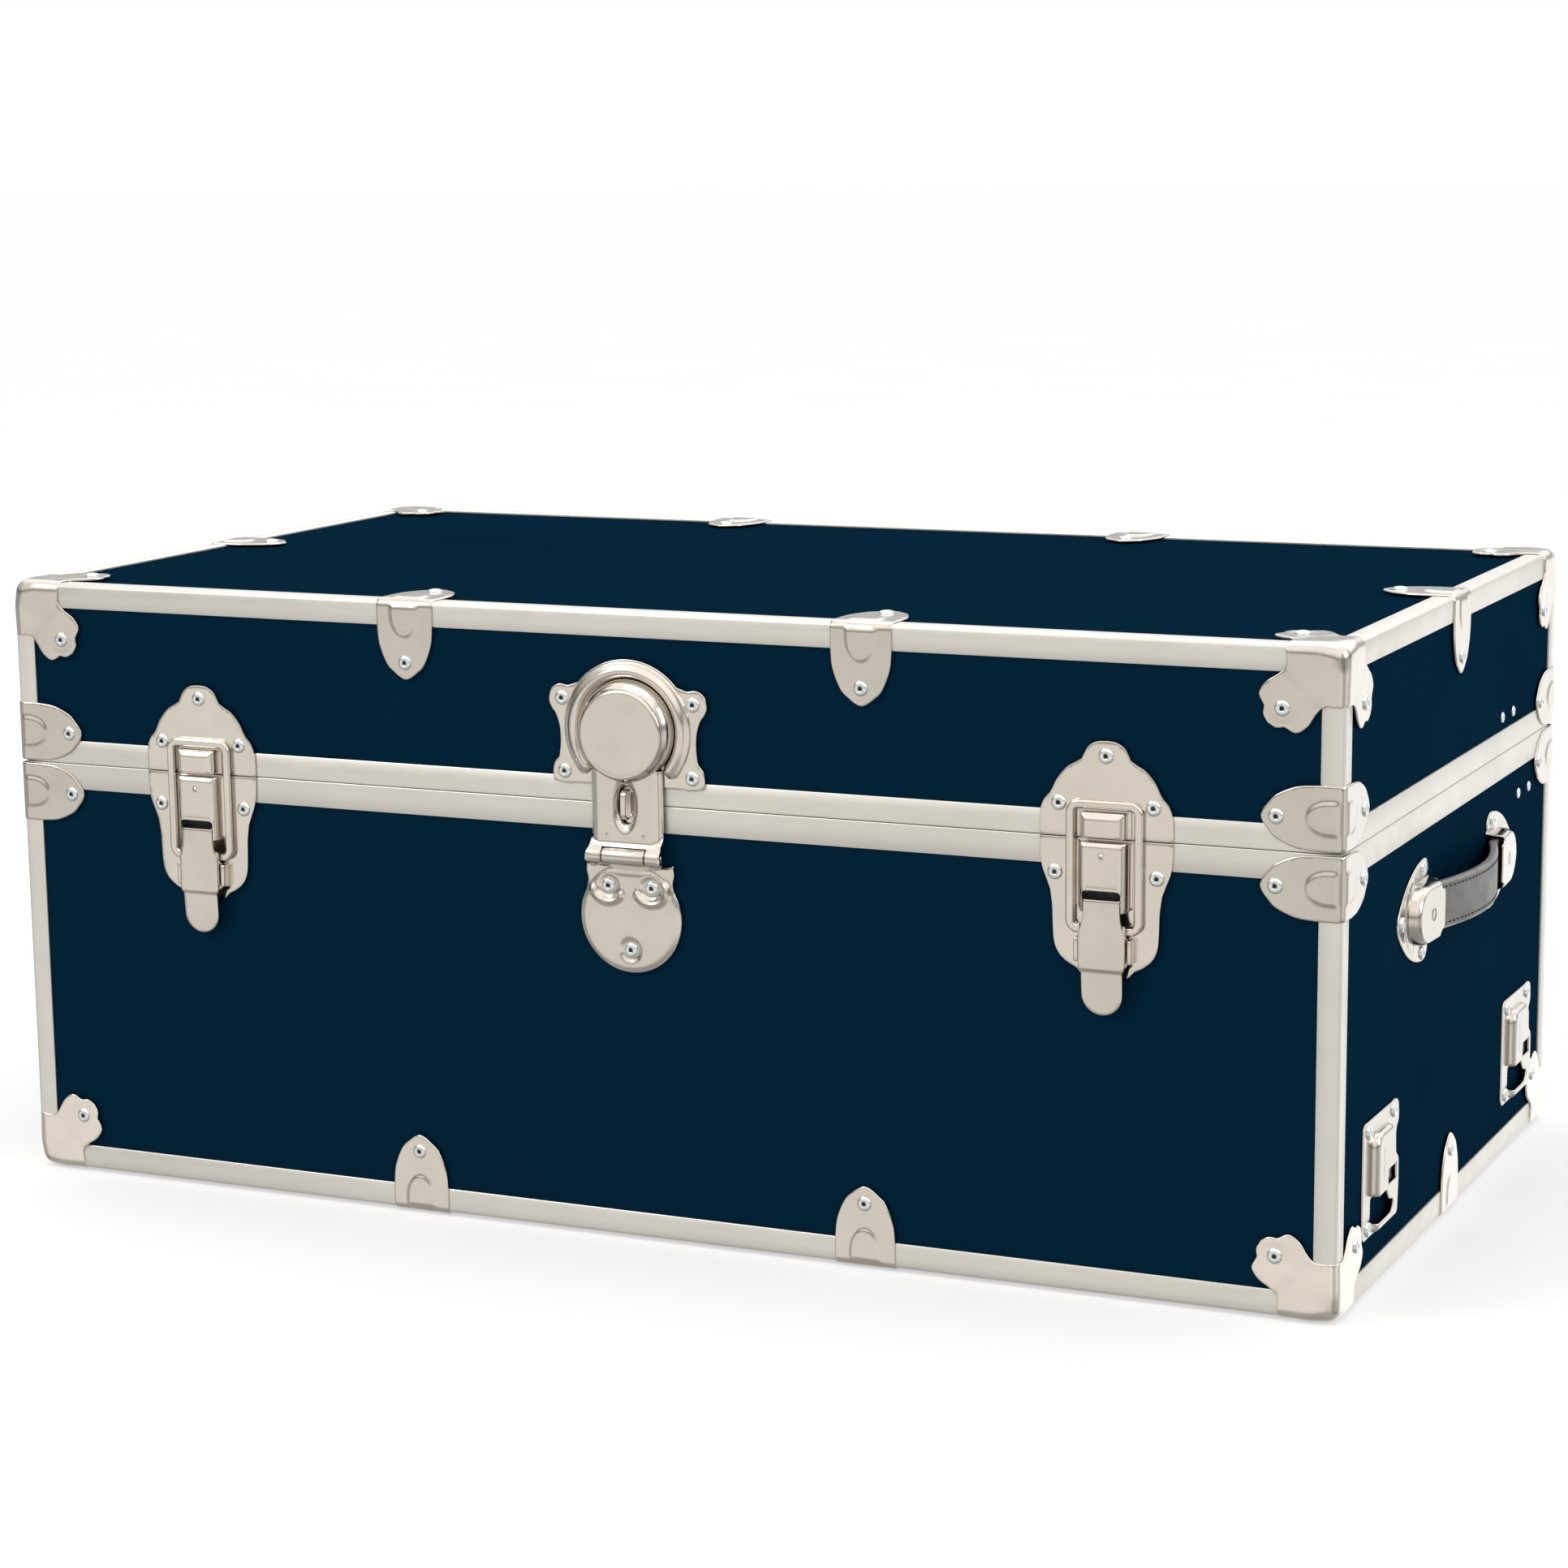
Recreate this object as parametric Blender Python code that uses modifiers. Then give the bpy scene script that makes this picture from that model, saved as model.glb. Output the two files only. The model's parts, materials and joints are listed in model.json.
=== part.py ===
"""Steamer trunk: a plywood footlocker with metal trims, draw latches, a hasp lock and end handles.

Units are metres, +Z up, the front faces -Y.  The origin is the middle of the bounding box, at its
bottom.  Sizes on the trunk are counted from the outer faces of its trims: u across a face, v up
from the bottom trim, w out of the face.
"""

from math import atan2, cos, pi, radians, sin, sqrt

import bmesh
import bpy
from mathutils import Matrix, Vector

MM = 0.001

# ---------------------------------------------------------------- driving dimensions
WIDTH = 812.8 * MM            # over the end trims
DEPTH = 457.2 * MM            # over the front and back trims
HEIGHT = 355.6 * MM           # over the top and bottom trims
PARTING = 248.5 * MM          # height of the joint between base and lid

GAP = 0.3 * MM                # clearance between neighbouring pieces
SHEET = 1.0 * MM              # thickness of the stamped hardware
TRIM = 1.2 * MM               # thickness of the aluminium trims
PLY = 8.0 * MM                # thickness of the panels
TRIM_LEG = 14.3 * MM          # leg of an edge trim on an upright face
TRIM_TOP_LEG = 12.2 * MM      # leg of an edge trim on the top or bottom face
TRIM_CORNER_LEG = 12.6 * MM   # legs of the upright corner trims
BASE_BAND = 15.0 * MM         # height of the base's closure band
LID_BAND = 13.7 * MM          # height of the lid's closure band
LIP = 3.0 * MM                # dust lip that stands up inside the lid

OUT = GAP + SHEET             # outer face of hardware that lies on the trims
PANEL = TRIM + GAP            # how far the panels lie behind the trims' outer faces

RIVET_R = 4.25 * MM
RIVET_TOP_R = 3.0 * MM
RIVET_HIGH = 1.4 * MM
RIVET_SIDES = 8

CAP_REACH = 31.0 * MM         # corner cap: length along each edge
CAP_RIVET = 33.0 * MM
CAP_LOBE = (34.0 * MM, 28.5 * MM, 9.8 * MM)

EDGE_CLAMP_HALF = 18.0 * MM
EDGE_CLAMP_LONG = 45.0 * MM
EDGE_CLAMP_RIVET = 35.2 * MM
EDGE_CLAMP_X = 140.0 * MM
MID_CLAMP_HALF = 17.3 * MM
MID_CLAMP_LONG = 44.0 * MM
MID_CLAMP_RIVET = 35.5 * MM
MID_CLAMP_RISE = 18.2 * MM    # middle of a mid clamp above or below the parting
OGIVE_START = 14.0 * MM       # where a clamp's straight sides end
OGIVE_POWER = 1.3

LATCH_X = 279.0 * MM
KEEPER_HALF = 12.25 * MM
KEEPER_TOP = 263.2 * MM
KEEPER_OUT = 9.0 * MM
BAIL_HALF = 21.25 * MM
BAIL_LOW = 197.8 * MM
BAIL_HIGH = 269.0 * MM
BAIL_LIMB = 5.0 * MM
BAIL_BACK = 2.2 * MM
BAIL_THICK = 2.5 * MM
LEVER_PIVOT = (214.5 * MM, 6.0 * MM)      # v and w of the lever's pin
LEVER_TOP = 217.5 * MM
LEVER_NARROW_HALF = 10.35 * MM
LEVER_WIDE_HALF = 13.0 * MM
LEVER_PIN_R = 1.7 * MM

HASP_AXIS = (219.9 * MM, 6.4 * MM)        # v and w of the hasp's hinge
HASP_KNUCKLE_R = 5.0 * MM
HASP_PIN_R = 2.0 * MM
HASP_HALF = 22.0 * MM
HASP_FACE = 6.0 * MM
LOCK_V = 289.8 * MM           # middle of the round lock cap
CAP_BASE_R = 28.0 * MM
CAP_FACE_R = 24.0 * MM
CAP_FACE = 12.0 * MM          # outermost face of the trunk's front
STAPLE_V = 249.0 * MM

HINGE_X = 235.0 * MM
HINGE_AXIS_W = 4.8 * MM       # lid hinge axis behind the back trims
HINGE_KNUCKLE_R = 3.2 * MM
HINGE_PIN_R = 1.5 * MM
HINGE_HALF = 27.0 * MM
HINGE_CENTRE_HALF = 11.0 * MM
HINGE_LEAF = 34.0 * MM

HANDLE_V = 188.8 * MM
HANDLE_INNER = 65.0 * MM      # open end of a handle cap, from the handle's middle
HANDLE_OUTER = 127.0 * MM
HANDLE_BACK = 7.0 * MM       # the handles sit this far behind the middle of the ends
HANDLE_FLANGE_R = 29.2 * MM
POCKET_HALF = 16.8 * MM
POCKET_OUTER = 110.0 * MM
POCKET_OUT = 9.8 * MM
STRAP_HALF = 13.7 * MM
STRAP_THICK = 5.0 * MM
STRAP_END = 80.0 * MM
STRAP_END_W = 1.0 * MM        # underside of the strap where it enters its caps
STRAP_BOW = 13.0 * MM

WHEEL_PLATE_FRONT_U = -145.0 * MM   # wheel plates, from the middle of the end
WHEEL_PLATE_BACK_U = 157.5 * MM
WHEEL_PLATE_V = 61.5 * MM
WHEEL_HALF_U = 35.0 * MM
WHEEL_HALF_V = 32.5 * MM
WHEEL_RAISED = 3.8 * MM

STAY_BASE = (-69.0 * MM, -31.5 * MM)      # stay pivots, from the lid hinge axis: y and z
STAY_LID = (-113.0 * MM, 21.0 * MM)
STAY_BAR_HALF = 6.0 * MM
STAY_BAR = 1.5 * MM
STAY_PIN_R = 3.0 * MM

HINGE_BACK = HINGE_AXIS_W + HINGE_KNUCKLE_R
MID_Y = (CAP_FACE - HINGE_BACK) / 2       # puts the bounding box's middle on y = 0
FRONT_Y = MID_Y - DEPTH / 2
BACK_Y = MID_Y + DEPTH / 2
LOW_Z = OUT                               # the bottom hardware stands on z = 0

# ---------------------------------------------------------------- face frames
# columns are u (across), v (up or back) and w (out of the face), then the face's origin


def face_frame(u, v, w, origin):
    """Matrix that takes (u, v, w) on a face of the trunk to the world."""
    columns = Matrix((u, v, w)).transposed().to_4x4()
    return Matrix.Translation(origin) @ columns


FRONT = face_frame((1, 0, 0), (0, 0, 1), (0, -1, 0), (0, FRONT_Y, LOW_Z))
BACK = face_frame((-1, 0, 0), (0, 0, 1), (0, 1, 0), (0, BACK_Y, LOW_Z))
RIGHT = face_frame((0, 1, 0), (0, 0, 1), (1, 0, 0), (WIDTH / 2, MID_Y, LOW_Z))
LEFT = face_frame((0, -1, 0), (0, 0, 1), (-1, 0, 0), (-WIDTH / 2, MID_Y, LOW_Z))
ENDS = {"left": LEFT, "right": RIGHT}

# ---------------------------------------------------------------- scene and materials


def clear_scene():
    for thing in list(bpy.data.objects):
        bpy.data.objects.remove(thing)


def make_material(name, colour, roughness, metallic):
    material = bpy.data.materials.new(name)
    material.use_nodes = True
    shader = material.node_tree.nodes["Principled BSDF"]
    shader.inputs["Base Color"].default_value = (*colour, 1)
    shader.inputs["Roughness"].default_value = roughness
    shader.inputs["Metallic"].default_value = metallic
    return material


clear_scene()
NAVY = make_material("navy_panel", (0.004, 0.016, 0.034), 0.35, 0.0)
ALUMINIUM = make_material("aluminium_trim", (0.62, 0.60, 0.56), 0.38, 1.0)
NICKEL = make_material("nickel_plate", (0.66, 0.61, 0.55), 0.2, 1.0)
LEATHER = make_material("handle_leather", (0.10, 0.095, 0.09), 0.55, 0.0)
STEEL = make_material("stay_steel", (0.5, 0.5, 0.5), 0.35, 1.0)

TRUNK = bpy.data.collections.new("steamer_trunk")
bpy.context.scene.collection.children.link(TRUNK)


def add_piece(name, mesh, material, frame=None, pivot=None):
    """Put a finished mesh in the trunk; pivot is the world point that becomes its origin."""
    if frame is not None:
        mesh.transform(frame)
    weld(mesh)
    mesh.materials.clear()
    mesh.materials.append(material)
    mesh.name = name
    piece = bpy.data.objects.new(name, mesh)
    TRUNK.objects.link(piece)
    if pivot is not None:
        mesh.transform(Matrix.Translation(-Vector(pivot)))
        piece.location = pivot
    return piece


# ---------------------------------------------------------------- shape tools


def weld(mesh):
    """Merge doubled points and turn the faces outward."""
    shape = bmesh.new()
    shape.from_mesh(mesh)
    bmesh.ops.remove_doubles(shape, verts=shape.verts, dist=0.002 * MM)
    bmesh.ops.dissolve_degenerate(shape, edges=shape.edges, dist=0.002 * MM)
    bmesh.ops.recalc_face_normals(shape, faces=shape.faces)
    shape.to_mesh(mesh)
    shape.free()


def evaluated_mesh(holder):
    """The mesh of an object with its modifiers applied; the object is removed."""
    bpy.context.scene.collection.objects.link(holder)
    depsgraph = bpy.context.evaluated_depsgraph_get()
    mesh = bpy.data.meshes.new_from_object(holder.evaluated_get(depsgraph))
    bpy.data.objects.remove(holder)
    return mesh


def prism(outlines, low, high):
    """A flat outline, with any holes as further outlines, made solid from w = low to w = high."""
    curve = bpy.data.curves.new("outline", "CURVE")
    curve.dimensions = "2D"
    curve.fill_mode = "BOTH"
    curve.extrude = (high - low) / 2
    for outline in outlines:
        spline = curve.splines.new("POLY")
        spline.points.add(len(outline) - 1)
        for point, (u, v) in zip(spline.points, outline):
            point.co = (u, v, 0, 1)
        spline.use_cyclic_u = True
    mesh = evaluated_mesh(bpy.data.objects.new("outline", curve))
    mesh.transform(Matrix.Translation((0, 0, (low + high) / 2)))
    weld(mesh)
    return mesh


def block(u_range, v_range, w_range):
    """A box between two values on each axis."""
    mesh = bpy.data.meshes.new("block")
    shape = bmesh.new()
    bmesh.ops.create_cube(shape, size=1)
    spans = [u_range, v_range, w_range]
    sizes = [high - low for low, high in spans]
    middle = [(low + high) / 2 for low, high in spans]
    bmesh.ops.transform(
        shape,
        matrix=Matrix.Translation(middle) @ Matrix.Diagonal((*sizes, 1)),
        verts=shape.verts,
    )
    shape.to_mesh(mesh)
    shape.free()
    return mesh


def rod(axis_point, radius, low, high, axis="u", sides=16):
    """A cylinder along u, v or w, through axis_point, from low to high on that axis."""
    mesh = bpy.data.meshes.new("rod")
    shape = bmesh.new()
    bmesh.ops.create_cone(
        shape, cap_ends=True, segments=sides, radius1=radius, radius2=radius, depth=high - low
    )
    turn = {
        "u": Matrix.Rotation(pi / 2, 4, "Y"),
        "v": Matrix.Rotation(pi / 2, 4, "X"),
        "w": Matrix.Identity(4),
    }[axis]
    place = Vector(axis_point)
    place["uvw".index(axis)] = (low + high) / 2
    bmesh.ops.transform(shape, matrix=Matrix.Translation(place) @ turn, verts=shape.verts)
    shape.to_mesh(mesh)
    shape.free()
    return mesh


def turned(profile, centre, sides=24):
    """A solid of revolution about w: profile is a closed list of (radius, w), on one side."""
    mesh = bpy.data.meshes.new("turned")
    shape = bmesh.new()
    rings = [shape.verts.new((radius, 0, height)) for radius, height in profile]
    edges = [
        shape.edges.new((rings[n], rings[(n + 1) % len(rings)])) for n in range(len(rings))
    ]
    bmesh.ops.spin(
        shape,
        geom=rings + edges,
        cent=(0, 0, 0),
        axis=(0, 0, 1),
        angle=2 * pi,
        steps=sides,
        use_merge=True,
    )
    bmesh.ops.remove_doubles(shape, verts=shape.verts, dist=0.002 * MM)
    bmesh.ops.translate(shape, vec=(centre[0], centre[1], 0), verts=shape.verts)
    bmesh.ops.recalc_face_normals(shape, faces=shape.faces)
    shape.to_mesh(mesh)
    shape.free()
    return mesh


def combine(operation, mesh, *tools):
    """Boolean of a mesh with each tool in turn."""
    for tool in tools:
        holder = bpy.data.objects.new("work", mesh)
        helper = bpy.data.objects.new("tool", tool)
        bpy.context.scene.collection.objects.link(helper)
        step = holder.modifiers.new("step", "BOOLEAN")
        step.operation = operation
        step.solver = "EXACT"
        step.object = helper
        mesh = evaluated_mesh(holder)
        bpy.data.objects.remove(helper)
    return mesh


def joined(mesh, *tools):
    return combine("UNION", mesh, *tools)


def cut(mesh, *tools):
    return combine("DIFFERENCE", mesh, *tools)


def folded_sheet(flaps, thickness):
    """A bent sheet: flaps are (points, outward direction), and grow inward by the thickness."""
    mesh = bpy.data.meshes.new("sheet")
    shape = bmesh.new()
    for points, outward in flaps:
        face = shape.faces.new([shape.verts.new(point) for point in points])
        face.normal_update()
        if face.normal.dot(outward) < 0:
            face.normal_flip()
    bmesh.ops.remove_doubles(shape, verts=shape.verts, dist=0.002 * MM)
    shape.to_mesh(mesh)
    shape.free()
    holder = bpy.data.objects.new("sheet", mesh)
    solid = holder.modifiers.new("solid", "SOLIDIFY")
    solid.thickness = thickness
    solid.offset = -1
    solid.use_even_offset = True
    return evaluated_mesh(holder)


def rectangular_ring(section, half_x, half_y):
    """Sweep a closed section of (inset, z) points round a rectangle with mitred corners."""
    mesh = bpy.data.meshes.new("ring")
    shape = bmesh.new()
    corners = [(1, 1), (-1, 1), (-1, -1), (1, -1)]
    loops = [
        [
            shape.verts.new((sx * (half_x - inset), MID_Y + sy * (half_y - inset), z))
            for inset, z in section
        ]
        for sx, sy in corners
    ]
    for n in range(4):
        here, there = loops[n], loops[(n + 1) % 4]
        for k in range(len(section)):
            m = (k + 1) % len(section)
            shape.faces.new((here[k], here[m], there[m], there[k]))
    bmesh.ops.recalc_face_normals(shape, faces=shape.faces)
    shape.to_mesh(mesh)
    shape.free()
    return mesh


def arc(centre, radius, start, end, steps):
    """Points on an arc, angles in degrees."""
    turns = [radians(start + (end - start) * n / steps) for n in range(steps + 1)]
    return [(centre[0] + radius * cos(t), centre[1] + radius * sin(t)) for t in turns]


def mirrored(half):
    """Close an outline whose half lies at u >= 0 and starts and ends near u = 0."""
    other = [(-u, v) for u, v in reversed(half) if u > 0.01 * MM]
    return half + other


def rivet_heads(places, base):
    """Rivet heads at (u, v) places, rooted in a sheet whose outer face is w = base."""
    mesh = bpy.data.meshes.new("rivets")
    shape = bmesh.new()
    root = SHEET / 2
    for u, v in places:
        middle = base + (RIVET_HIGH - root) / 2
        bmesh.ops.create_cone(
            shape,
            cap_ends=True,
            segments=RIVET_SIDES,
            radius1=RIVET_R,
            radius2=RIVET_TOP_R,
            depth=RIVET_HIGH + root,
            matrix=Matrix.Translation((u, v, middle)),
        )
    shape.to_mesh(mesh)
    shape.free()
    return mesh


# ---------------------------------------------------------------- panels and trims


def open_box(low, high, open_top):
    """Five panels of plywood as one tray, with its outer faces behind the trims."""
    half_x = WIDTH / 2 - PANEL
    half_y = DEPTH / 2 - PANEL
    closed = low if open_top else high
    corners = [(1, 1), (-1, 1), (-1, -1), (1, -1)]
    flaps = []
    for n in range(4):
        ends = [corners[n], corners[(n + 1) % 4]]
        wall = [(sx * half_x, MID_Y + sy * half_y, z) for (sx, sy), z in zip(ends, (low, low))]
        wall += [(x, y, high) for x, y, _ in reversed(wall)]
        outward = Vector((sum(e[0] for e in ends), sum(e[1] for e in ends), 0))
        flaps.append((wall, outward))
    floor = [(sx * half_x, MID_Y + sy * half_y, closed) for sx, sy in corners]
    flaps.append((floor, Vector((0, 0, -1 if open_top else 1))))
    return folded_sheet(flaps, PLY)


def cut_windows(frame, low, high):
    """Open the upright faces of a trim frame between two heights."""
    reach = 20 * MM
    half_x = WIDTH / 2 - TRIM_CORNER_LEG
    half_y = DEPTH / 2 - TRIM_CORNER_LEG
    through_ends = block(
        (-WIDTH / 2 - reach, WIDTH / 2 + reach), (MID_Y - half_y, MID_Y + half_y), (low, high)
    )
    through_front = block(
        (-half_x, half_x), (FRONT_Y - reach, BACK_Y + reach), (low, high)
    )
    return cut(frame, through_ends, through_front)


def make_base_shell():
    top = LOW_Z + PARTING - GAP / 2
    box = open_box(LOW_Z + PANEL, top - PANEL, True)
    add_piece("base_box", box, NAVY)

    lip_in = PANEL + PLY + GAP
    section = [
        (TRIM_TOP_LEG, LOW_Z),
        (0, LOW_Z),
        (0, top),
        (lip_in, top),
        (lip_in, top + LIP),
        (lip_in + TRIM, top + LIP),
        (lip_in + TRIM, top - TRIM),
        (TRIM, top - TRIM),
        (TRIM, LOW_Z + TRIM),
        (TRIM_TOP_LEG, LOW_Z + TRIM),
    ]
    frame = rectangular_ring(section, WIDTH / 2, DEPTH / 2)
    frame = cut_windows(frame, LOW_Z + TRIM_LEG, LOW_Z + PARTING - BASE_BAND)
    add_piece("base_trim_frame", frame, ALUMINIUM)


def make_lid_shell():
    bottom = LOW_Z + PARTING + GAP / 2
    top = LOW_Z + HEIGHT
    box = open_box(bottom + PANEL, top - PANEL, False)
    add_piece("lid_box", box, NAVY)

    section = [
        (TRIM_TOP_LEG, top),
        (0, top),
        (0, bottom),
        (PANEL + PLY, bottom),
        (PANEL + PLY, bottom + TRIM),
        (TRIM, bottom + TRIM),
        (TRIM, top - TRIM),
        (TRIM_TOP_LEG, top - TRIM),
    ]
    frame = rectangular_ring(section, WIDTH / 2, DEPTH / 2)
    frame = cut_windows(frame, LOW_Z + PARTING + LID_BAND, top - TRIM_LEG)
    add_piece("lid_trim_frame", frame, ALUMINIUM)


# ---------------------------------------------------------------- corner caps and clamps


def cap_outline():
    """A corner cap's flap: p and q run inward from the corner along its two edges."""
    lobe_p, lobe_q, lobe_r = CAP_LOBE
    half = [(CAP_REACH, -OUT), (CAP_REACH - 1 * MM, 15 * MM)]
    half += arc((lobe_p, lobe_q), lobe_r, -88, 64, 5)
    return [(-OUT, -OUT)] + half + [(q, p) for p, q in reversed(half)]


def corner_cap(sx, sy, top):
    """A three-sided cap on one corner of the trunk."""
    corner = Vector((sx * WIDTH / 2, MID_Y + sy * DEPTH / 2, LOW_Z + (HEIGHT if top else 0)))
    inward = [
        Vector((-sx, 0, 0)),
        Vector((0, -sy, 0)),
        Vector((0, 0, -1 if top else 1)),
    ]
    flaps, heads = [], []
    for n in range(3):
        first, second = inward[(n + 1) % 3], inward[(n + 2) % 3]
        outward = -inward[n]
        points = [corner + p * first + q * second + OUT * outward for p, q in cap_outline()]
        flaps.append((points, outward))
        if outward.z < 0:
            continue
        if first.cross(second).dot(outward) < 0:
            first, second = second, first
        frame = face_frame(first, second, outward, corner)
        head = rivet_heads([(CAP_RIVET, CAP_RIVET)], OUT)
        head.transform(frame)
        heads.append(head)
    cap = joined(folded_sheet(flaps, SHEET), *heads)
    side = "right" if sx > 0 else "left"
    where = "back" if sy > 0 else "front"
    level = "lid" if top else "base"
    add_piece(f"corner_cap_{level}_{where}_{side}", cap, NICKEL)


def clamp_outline(half, length):
    """A clamp's flap: straight sides, then a pointed arch.  s runs along the edge, t inward."""
    steps = 5
    rise = length - OGIVE_START
    arch = []
    for n in range(steps + 1):
        share = sin(pi / 2 * n / steps)
        arch.append((half * sqrt(max(0, 1 - share**OGIVE_POWER)), OGIVE_START + rise * share))
    arch[-1] = (0, length)
    return mirrored([(half, -OUT)] + arch)


def clamp(name, edge, along, first, second, half, length, rivet):
    """A sheet folded over an edge: first and second run inward on its two faces."""
    flaps, heads = [], []
    for inward, other in ((first, second), (second, first)):
        outward = -other
        points = [
            edge + s * along + t * inward + OUT * outward for s, t in clamp_outline(half, length)
        ]
        flaps.append((points, outward))
        if outward.z < 0:
            continue
        across = along if along.cross(inward).dot(outward) > 0 else -along
        head = rivet_heads([(0, rivet)], OUT)
        head.transform(face_frame(across, inward, outward, edge))
        heads.append(head)
    sheet = joined(folded_sheet(flaps, SHEET), *heads)
    add_piece(name, sheet, NICKEL)


def make_corner_caps():
    for top in (False, True):
        for sy in (-1, 1):
            for sx in (-1, 1):
                corner_cap(sx, sy, top)


def make_edge_clamps():
    along_x, along_y = Vector((1, 0, 0)), Vector((0, 1, 0))
    for level, z, down in (("base", LOW_Z, 1), ("lid", LOW_Z + HEIGHT, -1)):
        upright = Vector((0, 0, down))
        for where, sy in (("front", -1), ("back", 1)):
            for side, sx in (("left", -1), ("right", 1)):
                edge = Vector((sx * EDGE_CLAMP_X, MID_Y + sy * DEPTH / 2, z))
                clamp(
                    f"edge_clamp_{level}_{where}_{side}",
                    edge, along_x, upright, Vector((0, -sy, 0)),
                    EDGE_CLAMP_HALF, EDGE_CLAMP_LONG, EDGE_CLAMP_RIVET,
                )
        for side, sx in (("left", -1), ("right", 1)):
            edge = Vector((sx * WIDTH / 2, MID_Y, z))
            clamp(
                f"edge_clamp_{level}_end_{side}",
                edge, along_y, upright, Vector((-sx, 0, 0)),
                EDGE_CLAMP_HALF, EDGE_CLAMP_LONG, EDGE_CLAMP_RIVET,
            )


def make_mid_clamps():
    upright = Vector((0, 0, 1))
    for level, rise in (("base", -MID_CLAMP_RISE), ("lid", MID_CLAMP_RISE)):
        for where, sy in (("front", -1), ("back", 1)):
            for side, sx in (("left", -1), ("right", 1)):
                edge = Vector(
                    (sx * WIDTH / 2, MID_Y + sy * DEPTH / 2, LOW_Z + PARTING + rise)
                )
                clamp(
                    f"mid_clamp_{level}_{where}_{side}",
                    edge, upright, Vector((-sx, 0, 0)), Vector((0, -sy, 0)),
                    MID_CLAMP_HALF, MID_CLAMP_LONG, MID_CLAMP_RIVET,
                )


# ---------------------------------------------------------------- draw latches


def latch_lid_plate(frame, side):
    bottom = PARTING + GAP / 2
    half = [
        (37.8 * MM, bottom),
        (37.8 * MM, 264.0 * MM),
        (32.0 * MM, 269.5 * MM),
        (29.0 * MM, 274.5 * MM),
        (22.5 * MM, 283.0 * MM),
        (13.2 * MM, 289.5 * MM),
    ]
    half += arc((0, 288.3 * MM), 11.7 * MM, 18, 90, 3)
    plate = prism([mirrored(half)], GAP, OUT)
    keeper = block(
        (-KEEPER_HALF, KEEPER_HALF), (PARTING + 2 * MM, KEEPER_TOP), (OUT - SHEET / 2, KEEPER_OUT)
    )
    heads = rivet_heads([(0, 292.3 * MM), (-26.2 * MM, 266.3 * MM), (26.2 * MM, 266.3 * MM)], OUT)
    plate = joined(plate, keeper, heads)
    add_piece(f"latch_lid_plate_{side}", plate, NICKEL, frame)


def latch_base_plate(frame, side):
    top = PARTING - GAP / 2
    half = [(37.8 * MM, top), (37.8 * MM, 233.0 * MM), (32.4 * MM, 222.5 * MM)]
    half += [(29.8 * MM, 192.0 * MM)]
    half += arc((18.5 * MM, 190.0 * MM), 11.0 * MM, -15, -75, 2)
    half += [(11.0 * MM, 173.5 * MM), (0, 172.5 * MM)]
    half.reverse()
    plate = prism([mirrored(half)], GAP, OUT)

    wall_out = KEEPER_OUT
    wall_in = OUT - SHEET / 2
    housing_low, housing_high = 222.0 * MM, 246.0 * MM
    wall_low = 210.3 * MM
    housing = block(
        (-KEEPER_HALF, KEEPER_HALF), (wall_low, housing_high), (wall_in, wall_out)
    )
    inside = block(
        (-KEEPER_HALF + SHEET, KEEPER_HALF - SHEET),
        (wall_low - 5 * MM, housing_high - SHEET),
        (OUT, wall_out - SHEET),
    )
    mouth = block(
        (-KEEPER_HALF + SHEET, KEEPER_HALF - SHEET),
        (wall_low - 5 * MM, housing_low),
        (OUT, wall_out + 5 * MM),
    )
    heads = rivet_heads([(-28.2 * MM, 229.2 * MM), (28.2 * MM, 229.2 * MM)], OUT)
    plate = joined(plate, housing)
    plate = cut(plate, inside, mouth)
    plate = joined(plate, heads)
    add_piece(f"latch_base_plate_{side}", plate, NICKEL, frame)


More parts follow.
